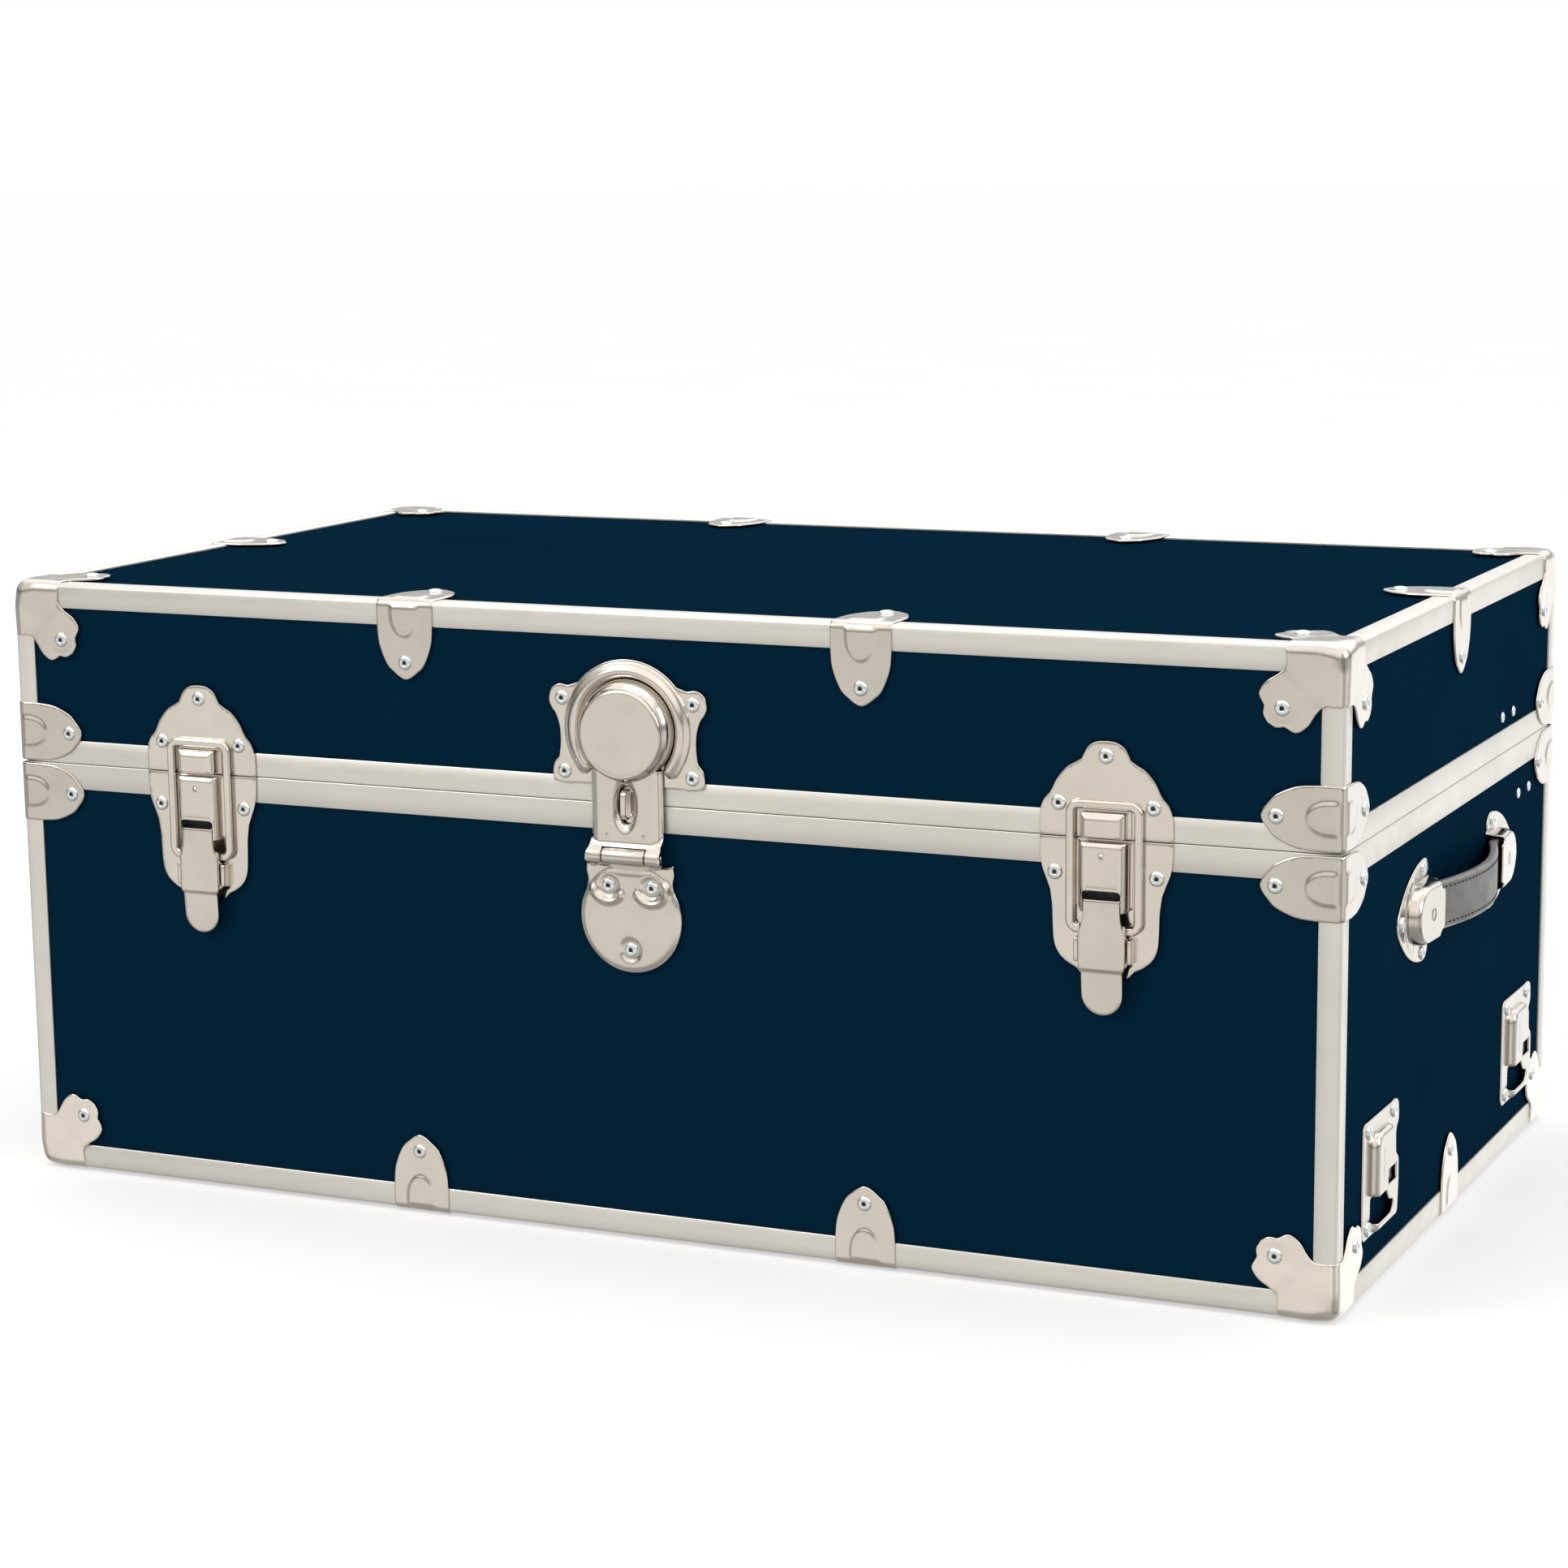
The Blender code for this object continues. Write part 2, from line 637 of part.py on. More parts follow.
def latch_lever(frame, side):
    """Thumb lever: a channel that turns on its pin and carries the bail's lower bar."""
    bend, tip = 179.0 * MM, 154.8 * MM
    face, tip_w = KEEPER_OUT, 6.0 * MM
    outline = [
        (LEVER_NARROW_HALF, LEVER_TOP),
        (LEVER_NARROW_HALF, 206.5 * MM),
        (LEVER_WIDE_HALF, 200.0 * MM),
        (LEVER_WIDE_HALF, 180.5 * MM),
        (11.5 * MM, 178.0 * MM),
    ]
    outline += arc((0, 166.3 * MM), 11.5 * MM, 0, -90, 4)
    shape = prism([mirrored(outline)], 0, 15 * MM)
    # the lever's side view, drawn as (w, v) and stood up across the lever
    side_view = [
        (face, LEVER_TOP + 1 * MM),
        (face, bend),
        (tip_w, tip - 1 * MM),
        (tip_w - SHEET, tip - 1 * MM),
        (face - SHEET, bend),
        (face - SHEET, LEVER_TOP + 1 * MM),
    ]
    bent = prism([side_view], -20 * MM, 20 * MM)
    bent.transform(Matrix(((0, 0, -1, 0), (0, 1, 0, 0), (1, 0, 0, 0), (0, 0, 0, 1))))
    lever = combine("INTERSECT", shape, bent)

    pivot_v, pivot_w = LEVER_PIVOT
    flange_back = 2.6 * MM
    bail_v, bail_w = bail_pivot()
    for sign in (-1, 1):
        wide = sorted((sign * (LEVER_WIDE_HALF - SHEET), sign * LEVER_WIDE_HALF))
        narrow = sorted((sign * (LEVER_NARROW_HALF - SHEET), sign * LEVER_NARROW_HALF))
        lower = block(wide, (180.9 * MM, 199.5 * MM), (flange_back, face - SHEET / 2))
        upper = block(
            narrow, (pivot_v - 3 * MM, pivot_v + 2.6 * MM), (pivot_w - 3 * MM, face - SHEET / 2)
        )
        lever = joined(lever, lower, upper)
    slot = rod((0, bail_v, bail_w), 3.4 * MM, -15 * MM, 15 * MM, sides=12)
    lever = cut(lever, slot)
    pin = rod(
        (0, pivot_v, pivot_w), LEVER_PIN_R, -LEVER_NARROW_HALF, LEVER_NARROW_HALF, sides=12
    )
    lever = joined(lever, pin)
    pivot = frame @ Vector((0, pivot_v, pivot_w))
    add_piece(f"latch_lever_{side}", lever, NICKEL, frame, pivot)


def bail_pivot():
    """v and w of the bail's lower bar, on which it turns in the lever."""
    return BAIL_LOW + BAIL_LIMB / 2, BAIL_BACK + BAIL_THICK / 2


def rounded_rectangle(half_u, low, high, radius, steps=3):
    """Outline of a rectangle with round corners."""
    points = []
    for (u, v), start in (
        ((half_u - radius, high - radius), 0),
        ((radius - half_u, high - radius), 90),
        ((radius - half_u, low + radius), 180),
        ((half_u - radius, low + radius), 270),
    ):
        points += arc((u, v), radius, start, start + 90, steps)
    return points


def latch_bail(frame, side):
    outer = rounded_rectangle(BAIL_HALF, BAIL_LOW, BAIL_HIGH, 7 * MM)
    inner = rounded_rectangle(
        BAIL_HALF - BAIL_LIMB, BAIL_LOW + BAIL_LIMB, BAIL_HIGH - BAIL_LIMB, 3 * MM
    )
    ring = prism([outer, inner], BAIL_BACK, BAIL_BACK + BAIL_THICK)
    pivot = frame @ Vector((0, *bail_pivot()))
    add_piece(f"latch_bail_{side}", ring, NICKEL, frame, pivot)


def make_latches():
    for side, sign in (("left", -1), ("right", 1)):
        frame = FRONT @ Matrix.Translation((sign * LATCH_X, 0, 0))
        latch_lid_plate(frame, side)
        latch_base_plate(frame, side)
        latch_lever(frame, side)
        latch_bail(frame, side)


# ---------------------------------------------------------------- hasp lock


def make_lock_lid_plate():
    """Plate on the lid with a raised horseshoe round the lock cap and a boss inside it."""
    ring_out, ring_in = 36.5 * MM, 30.8 * MM
    half = [(0, 258.8 * MM), (34.0 * MM, 258.8 * MM)]
    half += arc((39.3 * MM, 265.1 * MM), 6.8 * MM, -90, 50, 4)
    half += [(42.4 * MM, 284.0 * MM), (42.8 * MM, 297.0 * MM)]
    half += arc((40.3 * MM, 306.1 * MM), 7.2 * MM, -35, 95, 4)
    half += arc((0, LOCK_V), 39.0 * MM, 42, 90, 4)
    plate = prism([mirrored(half)], GAP, OUT)
    horseshoe = arc((0, LOCK_V), ring_out, -35, 215, 20) + arc((0, LOCK_V), ring_in, 215, -35, 20)
    horseshoe = prism([horseshoe], OUT - SHEET / 2, OUT + 2.2 * MM)
    boss = rod((0, LOCK_V, 0), 15 * MM, OUT - SHEET / 2, 5 * MM, "w", 20)
    places = [(sign * u * MM, v * MM) for sign in (-1, 1) for u, v in ((40.3, 306.1), (39.3, 265.1))]
    plate = joined(plate, horseshoe, boss, rivet_heads(places, OUT))
    add_piece("lock_lid_plate", plate, NICKEL, FRONT)


def make_lock_base_plate():
    """Shield plate on the base, its hinge barrel and pin, and a tongue behind the hasp."""
    shield_v, shield_r = 184.4 * MM, 31.4 * MM
    shoulder = 213.8 * MM
    half = [(0, shoulder), (20.0 * MM, shoulder), (26.0 * MM, 215.0 * MM), (27.0 * MM, 204.0 * MM)]
    half += arc((0, shield_v), shield_r, 30, -90, 9)
    shield = prism([mirrored(half)], GAP, OUT)
    axis_v, axis_w = HASP_AXIS
    centre_half = 13.0 * MM
    tongue = block((-12.5 * MM, 12.5 * MM), (shoulder - 3 * MM, 258.0 * MM), (GAP, OUT))
    barrel = rod((0, axis_v, axis_w), HASP_KNUCKLE_R, -centre_half, centre_half)
    web = block(
        (-centre_half, centre_half), (axis_v - 3 * MM, axis_v + 2 * MM), (OUT - SHEET / 2, axis_w)
    )
    pin = rod((0, axis_v, axis_w), HASP_PIN_R, -HASP_HALF, HASP_HALF, sides=12)
    places = [(-13.4 * MM, 202 * MM), (13.4 * MM, 202 * MM), (0, 166.2 * MM)]
    plate = joined(shield, tongue, web, barrel, pin, rivet_heads(places, OUT))
    add_piece("lock_base_plate", plate, NICKEL, FRONT)


def make_padlock_staple():
    """Loop that stands out through the hasp's oval hole, with a window for a shackle."""
    half_v, reach = 9.0 * MM, 9.6 * MM
    outer = [(OUT + GAP, -half_v), (OUT + GAP, half_v)]
    outer += arc((reach - 4 * MM, half_v - 4 * MM), 4 * MM, 90, 0, 2)
    outer += arc((reach - 4 * MM, 4 * MM - half_v), 4 * MM, 0, -90, 2)
    inner = rounded_rectangle(2.2 * MM, -half_v + 3 * MM, half_v - 3 * MM, 1.5 * MM, 1)
    inner = [(w + 5.2 * MM, v) for w, v in inner]
    loop = prism([outer, inner], -1.5 * MM, 1.5 * MM)
    loop.transform(Matrix(((0, 0, -1, 0), (0, 1, 0, STAPLE_V), (1, 0, 0, 0), (0, 0, 0, 1))))
    add_piece("padlock_staple", loop, NICKEL, FRONT)


def make_hasp():
    """Strap with an oval hole, a hollow round lock cap on top and hinge knuckles below."""
    axis_v, axis_w = HASP_AXIS
    face_in = HASP_FACE - SHEET
    strap_top = 268.0 * MM
    oval = [
        (7.5 * MM * cos(2 * pi * n / 16), STAPLE_V + 13 * MM * sin(2 * pi * n / 16))
        for n in range(16)
    ]
    corners = [
        (-HASP_HALF, axis_v + 4 * MM),
        (HASP_HALF, axis_v + 4 * MM),
        (HASP_HALF, strap_top),
        (-HASP_HALF, strap_top),
    ]
    hasp = prism([corners, oval], face_in, HASP_FACE)

    rim = OUT + 2 * GAP
    cup = [
        (CAP_BASE_R, rim),
        (CAP_BASE_R - 1 * MM, CAP_FACE - 3.5 * MM),
        (CAP_FACE_R, CAP_FACE),
        (0, CAP_FACE),
        (0, CAP_FACE - SHEET),
        (CAP_FACE_R - 0.6 * MM, CAP_FACE - SHEET),
        (CAP_BASE_R - 2 * MM, CAP_FACE - 4 * MM),
        (CAP_BASE_R - SHEET, rim),
    ]
    hasp = joined(hasp, turned(cup, (0, LOCK_V), 28))

    for sign in (-1, 1):
        edge = sorted((sign * (HASP_HALF - SHEET), sign * HASP_HALF))
        flange = block(edge, (axis_v + 2 * MM, strap_top - 4 * MM), (2.5 * MM, HASP_FACE - SHEET / 2))
        low, high = sorted((sign * (13.0 * MM + GAP), sign * HASP_HALF))
        knuckle = rod((0, axis_v, axis_w), HASP_KNUCKLE_R, low, high)
        hasp = joined(hasp, flange, knuckle)
    bore = rod((0, axis_v, axis_w), HASP_PIN_R + GAP, -30 * MM, 30 * MM, sides=12)
    clearance = rod(
        (0, axis_v, axis_w), HASP_KNUCKLE_R + GAP, -13.0 * MM - GAP, 13.0 * MM + GAP
    )
    hasp = cut(hasp, bore, clearance)
    pivot = FRONT @ Vector((0, axis_v, axis_w))
    add_piece("hasp", hasp, NICKEL, FRONT, pivot)


# ---------------------------------------------------------------- back hinges


def hinge_plate(low, high):
    return rounded_rectangle(HINGE_HALF, low, high, 5 * MM, 2)


def make_hinges():
    axis_v = PARTING
    for side, sign in (("left", 1), ("right", -1)):
        frame = BACK @ Matrix.Translation((sign * HINGE_X, 0, 0))
        pivot = frame @ Vector((0, axis_v, HINGE_AXIS_W))
        inner = HINGE_CENTRE_HALF

        plate = prism([hinge_plate(axis_v - HINGE_LEAF, axis_v - GAP)], GAP, OUT)
        places = [(u * MM, axis_v - v * MM) for u, v in ((-18, 12), (18, 12), (0, 26))]
        leaf = joined(plate, rivet_heads(places, OUT))
        for end in (-1, 1):
            low, high = sorted((end * (inner + GAP), end * HINGE_HALF))
            knuckle = rod((0, axis_v, HINGE_AXIS_W), HINGE_KNUCKLE_R, low, high, sides=12)
            web = block((low, high), (axis_v - 3.0 * MM, axis_v - GAP), (OUT - SHEET / 2, HINGE_AXIS_W))
            leaf = joined(leaf, web, knuckle)
        pin = rod((0, axis_v, HINGE_AXIS_W), HINGE_PIN_R, -HINGE_HALF + MM, HINGE_HALF - MM, sides=10)
        leaf = joined(leaf, pin)
        add_piece(f"hinge_base_leaf_{side}", leaf, NICKEL, frame)

        plate = prism([hinge_plate(axis_v + GAP, axis_v + HINGE_LEAF)], GAP, OUT)
        places = [(u, 2 * axis_v - v) for u, v in places]
        leaf = joined(plate, rivet_heads(places, OUT))
        web = block((-inner, inner), (axis_v + GAP, axis_v + 3.0 * MM), (OUT - SHEET / 2, HINGE_AXIS_W))
        knuckle = rod((0, axis_v, HINGE_AXIS_W), HINGE_KNUCKLE_R, -inner, inner, sides=12)
        bore = rod(
            (0, axis_v, HINGE_AXIS_W), HINGE_PIN_R + GAP, -inner - MM, inner + MM, sides=10
        )
        leaf = cut(joined(leaf, web, knuckle), bore)
        add_piece(f"hinge_lid_leaf_{side}", leaf, NICKEL, frame, pivot)


# ---------------------------------------------------------------- end handles


def strap_height(u):
    """Underside of the leather strap above the trims at a distance u from its middle."""
    bowed = HANDLE_INNER + 8 * MM
    share = min(1, abs(u) / bowed)
    droop = 0.5 * MM * max(0, abs(u) - bowed) / (STRAP_END - bowed)
    return STRAP_END_W + STRAP_BOW * (1 + cos(pi * share)) / 2 - droop


def make_handle_strap(frame, end):
    steps = 16
    bowed = HANDLE_INNER + 8 * MM
    along = [bowed * (2 * n / steps - 1) for n in range(steps + 1)]
    along = [-STRAP_END, *along, STRAP_END]
    under = [(u, strap_height(u)) for u in along]
    over = [(u, w + STRAP_THICK) for u, w in reversed(under)]
    strap = prism([under + over], -STRAP_HALF, STRAP_HALF)
    # drawn as (u, w), so the outline is turned to stand out of the face
    strap.transform(Matrix(((1, 0, 0, 0), (0, 0, -1, HANDLE_V), (0, 1, 0, 0), (0, 0, 0, 1))))
    add_piece(f"handle_strap_{end}", strap, LEATHER, frame, frame @ Vector((0, HANDLE_V, 0)))


def d_shape(inner, outer, half, steps):
    """Outline that is straight at u = inner and round towards u = outer."""
    reach = outer - inner
    sweep = [pi / 2 - pi * n / steps for n in range(steps + 1)]
    return [(inner, HANDLE_V + half)] + [
        (inner + reach * (0.25 + 0.75 * cos(t)), HANDLE_V + half * sin(t)) for t in sweep
    ] + [(inner, HANDLE_V - half)]


def make_handle_cap(frame, end, where, sign):
    """Stamped cap that holds one end of the strap in a pocket open towards the middle."""
    floor_in, floor_out = GAP - PANEL, GAP - PANEL + SHEET
    flange = prism([d_shape(HANDLE_INNER + 0.8 * MM, HANDLE_OUTER, HANDLE_FLANGE_R, 10)], floor_in, floor_out)
    pocket = prism([d_shape(HANDLE_INNER, POCKET_OUTER, POCKET_HALF, 8)], floor_in + SHEET / 2, POCKET_OUT)
    hollow = prism(
        [d_shape(HANDLE_INNER - 5 * MM, POCKET_OUTER - 1.5 * MM, POCKET_HALF - 1.2 * MM, 8)],
        floor_out,
        POCKET_OUT - 1.2 * MM,
    )
    middle = 77.0 * MM
    places = [(middle, HANDLE_V - 24 * MM), (middle, HANDLE_V + 24 * MM), (118.5 * MM, HANDLE_V)]
    cap = cut(joined(flange, pocket), hollow)
    cap = joined(cap, rivet_heads(places, floor_out))
    cap.transform(Matrix.Diagonal((sign, 1, 1, 1)))
    add_piece(f"handle_cap_{end}_{where}", cap, NICKEL, frame)


def make_handles():
    for end, face in ENDS.items():
        back = HANDLE_BACK if end == "right" else -HANDLE_BACK
        frame = face @ Matrix.Translation((back, 0, 0))
        make_handle_strap(frame, end)
        front = 1 if end == "left" else -1
        make_handle_cap(frame, end, "front", front)
        make_handle_cap(frame, end, "back", -front)


# ---------------------------------------------------------------- wheel plates


def make_wheel_plate(where, middle_u):
    """Stamped socket for a clip-on wheel: flange, raised channel, square hole and lower mouth."""
    floor_in, floor_out = GAP - PANEL, GAP - PANEL + SHEET
    half_u, half_v = WHEEL_HALF_U, WHEEL_HALF_V
    flange = rounded_rectangle(half_u, -half_v, half_v, 5 * MM, 2)
    plate = prism([flange], floor_in, floor_out)
    narrow = block((26 * MM, half_u + 5 * MM), (-half_v - 5 * MM, -2 * MM), (-5 * MM, 5 * MM))
    plate = cut(plate, narrow)
    raised = [
        (-18 * MM, -half_v + 1.5 * MM),
        (21 * MM, -half_v + 1.5 * MM),
        (24 * MM, -12 * MM),
        (23.4 * MM, 2 * MM),
        (17.4 * MM, 7 * MM),
        (16.8 * MM, 19 * MM),
        (13 * MM, 23 * MM),
        (-18 * MM, 23 * MM),
    ]
    inside = [
        (-16.8 * MM, -half_v + 2.7 * MM),
        (19.8 * MM, -half_v + 2.7 * MM),
        (22.8 * MM, -12 * MM),
        (22.2 * MM, 1.4 * MM),
        (16.2 * MM, 6.4 * MM),
        (15.6 * MM, 18.4 * MM),
        (12.4 * MM, 21.8 * MM),
        (-16.8 * MM, 21.8 * MM),
    ]
    top = WHEEL_RAISED
    plate = joined(plate, prism([raised], floor_in + SHEET / 2, top))
    plate = cut(plate, prism([inside], floor_in - 1 * MM, top - SHEET))
    square = block((2 * MM, 17.5 * MM), (-9 * MM, -0.5 * MM), (-5 * MM, top + 5 * MM))
    mouth = block((-16 * MM, 13 * MM), (-26 * MM, -11 * MM), (-5 * MM, top + 5 * MM))
    side_mouth = block((-19 * MM, -15 * MM), (-26 * MM, -11 * MM), (floor_out + 0.3 * MM, top + 5 * MM))
    plate = cut(plate, square, mouth, side_mouth)
    places = [(-24.5 * MM, v) for v in (-26.5 * MM, 26.5 * MM)] + [(24 * MM, 27 * MM)]
    plate = joined(plate, rivet_heads(places, floor_out))
    frame = RIGHT @ Matrix.Translation((middle_u, WHEEL_PLATE_V, 0))
    add_piece(f"wheel_plate_{where}", plate, NICKEL, frame)


# ---------------------------------------------------------------- lid stay


def bar_outline(start, end, half):
    """A flat bar with round ends between two points."""
    angle = atan2(end[1] - start[1], end[0] - start[0]) * 180 / pi
    return arc(end, half, angle - 90, angle + 90, 6) + arc(start, half, angle + 90, angle + 270, 6)


def circle(centre, radius, sides=12):
    return arc(centre, radius, 0, 360 * (sides - 1) / sides, sides - 1)


def make_stay():
    """Two-arm lid stay on the inside of the right end.

    The lid hinge, the two fixed pivots and the knee are the corners of a parallelogram, so each
    arm turns through the same angle as the lid.
    """
    knee = (STAY_BASE[0] + STAY_LID[0], STAY_BASE[1] + STAY_LID[1])
    inner_wall = WIDTH / 2 - PANEL - PLY
    # drawn as (y, z) from the lid hinge axis, with w towards +X
    axis = Vector((0, BACK_Y + HINGE_AXIS_W, LOW_Z + PARTING))
    frame = face_frame((0, 1, 0), (0, 0, 1), (1, 0, 0), axis)
    plate_out = inner_wall - GAP
    plate_in = plate_out - STAY_BAR
    lower_out = plate_in - GAP
    lower_in = lower_out - STAY_BAR
    upper_out = lower_in - GAP
    upper_in = upper_out - STAY_BAR
    hole = STAY_PIN_R + GAP

    for name, (y, z), pin_end in (
        ("stay_base_bracket", STAY_BASE, lower_in - GAP / 3),
        ("stay_lid_bracket", STAY_LID, upper_in - STAY_BAR),
    ):
        outline = [(u + y, v) for u, v in rounded_rectangle(20 * MM, z - 8 * MM, z + 8 * MM, 5 * MM, 2)]
        plate = prism([outline], plate_in, plate_out)
        pin = rod((y, z, 0), STAY_PIN_R, pin_end, plate_in + STAY_BAR / 2, "w", 12)
        add_piece(name, joined(plate, pin), STEEL, frame)

    outline = [bar_outline(STAY_BASE, knee, STAY_BAR_HALF), circle(STAY_BASE, hole)]
    lower = prism(outline, lower_in, lower_out)
    pin = rod((*knee, 0), STAY_PIN_R, upper_in - STAY_BAR, lower_in + STAY_BAR / 2, "w", 12)
    lower = joined(lower, pin)
    add_piece("stay_lower_arm", lower, STEEL, frame, frame @ Vector((*STAY_BASE, 0)))

    outline = [
        bar_outline(STAY_LID, knee, STAY_BAR_HALF),
        circle(STAY_LID, hole),
        circle(knee, hole),
    ]
    upper = prism(outline, upper_in, upper_out)
    add_piece("stay_upper_arm", upper, STEEL, frame, frame @ Vector((*STAY_LID, 0)))


# ---------------------------------------------------------------- assembly

make_base_shell()
make_lid_shell()
make_corner_caps()
make_edge_clamps()
make_mid_clamps()
make_latches()
make_lock_lid_plate()
make_lock_base_plate()
make_padlock_staple()
make_hasp()
make_hinges()
make_handles()
make_wheel_plate("front", WHEEL_PLATE_FRONT_U)
make_wheel_plate("back", WHEEL_PLATE_BACK_U)
make_stay()
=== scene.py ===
"""Looks of the steamer trunk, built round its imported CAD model.

Every sheet-metal piece is a relief: an outline filled with a fine mesh whose height is a formula,
so beads, dishes and rolled edges are real shapes.  On a face of the trunk, u runs across, v up and
w out of the face; all three are counted from the outer faces of the aluminium trims.
"""

import json
from math import atan2, cos, hypot, pi, radians, sin, sqrt

import bmesh
import bpy
import numpy as np
from mathutils import Matrix, Vector
from mathutils.geometry import delaunay_2d_cdt
from mathutils.kdtree import KDTree


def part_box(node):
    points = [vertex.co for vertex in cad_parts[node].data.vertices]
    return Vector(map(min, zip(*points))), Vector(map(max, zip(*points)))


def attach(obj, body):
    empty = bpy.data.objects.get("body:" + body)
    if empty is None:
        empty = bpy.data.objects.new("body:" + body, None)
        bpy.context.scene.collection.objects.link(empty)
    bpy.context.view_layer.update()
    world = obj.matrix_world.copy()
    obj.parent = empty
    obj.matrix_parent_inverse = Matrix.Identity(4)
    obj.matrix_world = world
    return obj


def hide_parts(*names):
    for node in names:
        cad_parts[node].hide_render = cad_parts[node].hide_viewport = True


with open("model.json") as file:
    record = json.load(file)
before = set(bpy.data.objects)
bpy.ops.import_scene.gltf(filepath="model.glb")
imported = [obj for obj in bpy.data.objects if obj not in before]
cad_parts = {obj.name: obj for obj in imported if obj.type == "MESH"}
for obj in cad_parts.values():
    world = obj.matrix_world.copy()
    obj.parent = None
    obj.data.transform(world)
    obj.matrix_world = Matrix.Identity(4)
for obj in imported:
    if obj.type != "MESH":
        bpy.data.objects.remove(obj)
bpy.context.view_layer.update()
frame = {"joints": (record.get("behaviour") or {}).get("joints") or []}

MM = 0.001
JOINTS = {joint["name"]: joint for joint in frame["joints"]}
SIDES = (("left", -1), ("right", 1))
WHERES = (("front", -1), ("back", 1))

# ---------------------------------------------------------------- places, from the CAD frame
TRIM_LOW, BASE_TRIM_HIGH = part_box("base_trim_frame")
LID_TRIM_LOW, TRIM_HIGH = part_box("lid_trim_frame")
WIDTH = TRIM_HIGH.x - TRIM_LOW.x
DEPTH = TRIM_HIGH.y - TRIM_LOW.y
HEIGHT = TRIM_HIGH.z - TRIM_LOW.z
LOW_Z = TRIM_LOW.z
MID_Y = (TRIM_LOW.y + TRIM_HIGH.y) / 2
FRONT_Y = TRIM_LOW.y
BACK_Y = TRIM_HIGH.y
LID_LOW = LID_TRIM_LOW.z - LOW_Z
GAP = 0.3 * MM
BASE_HIGH = LID_LOW - GAP
PARTING = (LID_LOW + BASE_HIGH) / 2

SHEET = 1.0 * MM
OUT = LOW_Z                    # outer face of hardware on the trims, which is what the trunk stands on
TRIM = 1.2 * MM
PLY = 8.0 * MM
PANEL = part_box("base_box")[0].x - TRIM_LOW.x
PANEL_W = -PANEL               # the panels' outer faces
TRIM_LEG = 14.3 * MM
TRIM_TOP_LEG = 12.2 * MM
TRIM_CORNER_LEG = 12.6 * MM
BASE_BAND = 15.0 * MM
LID_BAND = 13.7 * MM
LIP = 3.0 * MM
EDGE_R = 2.2 * MM              # rounding of the trims' outer corners
FOLD_R = 3.2 * MM              # rounding of the clamps' folds
CAP_R = 4.6 * MM               # rounding of the corner caps
BALL_EXTRA = 2.0 * MM          # how much rounder their three-way corner is
TUCK = 14.0 * MM               # how far from a corner the bars start to fall away under the hardware

RIVET_R = 4.25 * MM

# painted light and shade: the same nickel plating is made darker or brighter on each kind of stamping, by the start of
# a piece's name, to stand in for how much light it catches
NICKEL_PAINTED_LIGHT = {
    "cap_handle": 0.82,
    "cap_base": 1.12,
    "cap_lid": 0.91,
    "clamp_lid": 0.86,
    "clamp_base": 0.97,
    "mid_": 0.84,
    "latch_thumb": 0.92,
    "hasp": 0.95,
    "lock_shield": 0.93,
    "wheel_socket": 0.80,
}


def face_frame(u, v, w, origin):
    columns = Matrix((u, v, w)).transposed().to_4x4()
    return Matrix.Translation(origin) @ columns


FRONT = face_frame((1, 0, 0), (0, 0, 1), (0, -1, 0), (0, FRONT_Y, LOW_Z))
BACK = face_frame((-1, 0, 0), (0, 0, 1), (0, 1, 0), (0, BACK_Y, LOW_Z))
RIGHT = face_frame((0, 1, 0), (0, 0, 1), (1, 0, 0), (WIDTH / 2, MID_Y, LOW_Z))
LEFT = face_frame((0, -1, 0), (0, 0, 1), (-1, 0, 0), (-WIDTH / 2, MID_Y, LOW_Z))
ENDS = {"left": LEFT, "right": RIGHT}


# ---------------------------------------------------------------- curves


def arc(centre, radius, start, end, steps=12):
    """Points on an arc; radius may be (across, up), and angles are in degrees."""
    across, up = radius if isinstance(radius, tuple) else (radius, radius)
    turns = [radians(start + (end - start) * n / steps) for n in range(steps + 1)]
    return [(centre[0] + across * cos(t), centre[1] + up * sin(t)) for t in turns]


def flowing(points, steps=6):
    """A smooth line through the points (Catmull-Rom)."""
    row = [Vector(point) for point in points]
    row = [2 * row[0] - row[1], *row, 2 * row[-1] - row[-2]]
    line = []
    for n in range(1, len(row) - 2):
        a, b, c, d = row[n - 1 : n + 3]
        for k in range(steps):
            t = k / steps
            spot = 2 * b + (c - a) * t + (2 * a - 5 * b + 4 * c - d) * t**2
            spot += (3 * b - a - 3 * c + d) * t**3
            line.append(tuple(spot / 2))
    return line + [tuple(points[-1])]


def scaled(points, size=MM):
    return [(u * size, v * size) for u, v in points]


def both_sides(half):
    """Close an outline whose half lies at u >= 0."""
    return half + [(-u, v) for u, v in reversed(half) if u > 0.02 * MM]


def rounded_rectangle(half_u, low, high, radius, steps=5):
    points = []
    for u, v, start in (
        (half_u - radius, high - radius, 0),
        (radius - half_u, high - radius, 90),
        (radius - half_u, low + radius, 180),
        (half_u - radius, low + radius, 270),
    ):
        points += arc((u, v), radius, start, start + 90, steps)
    return points


# ---------------------------------------------------------------- numbers on grids of points


def ease(value):
    """0 below 0, 1 above 1, smooth between."""
    t = np.clip(value, 0, 1)
    return t * t * (3 - 2 * t)


def bump(distance, half):
    """1 at distance 0, falling smoothly to 0 at half."""
    return 1 - ease(np.abs(distance) / half)


def line_distance(points, line, closed=False):
    """Distance of each point to a polyline."""
    line = np.array(line)
    starts = line if closed else line[:-1]
    ends = np.roll(line, -1, axis=0) if closed else line[1:]
    best = np.full(len(points), np.inf)
    for a, b in zip(starts, ends):
        d = b - a
        t = np.clip((points - a) @ d / max(d @ d, 1e-18), 0, 1)
        best = np.minimum(best, np.hypot(*(points - a - t[:, None] * d).T))
    return best


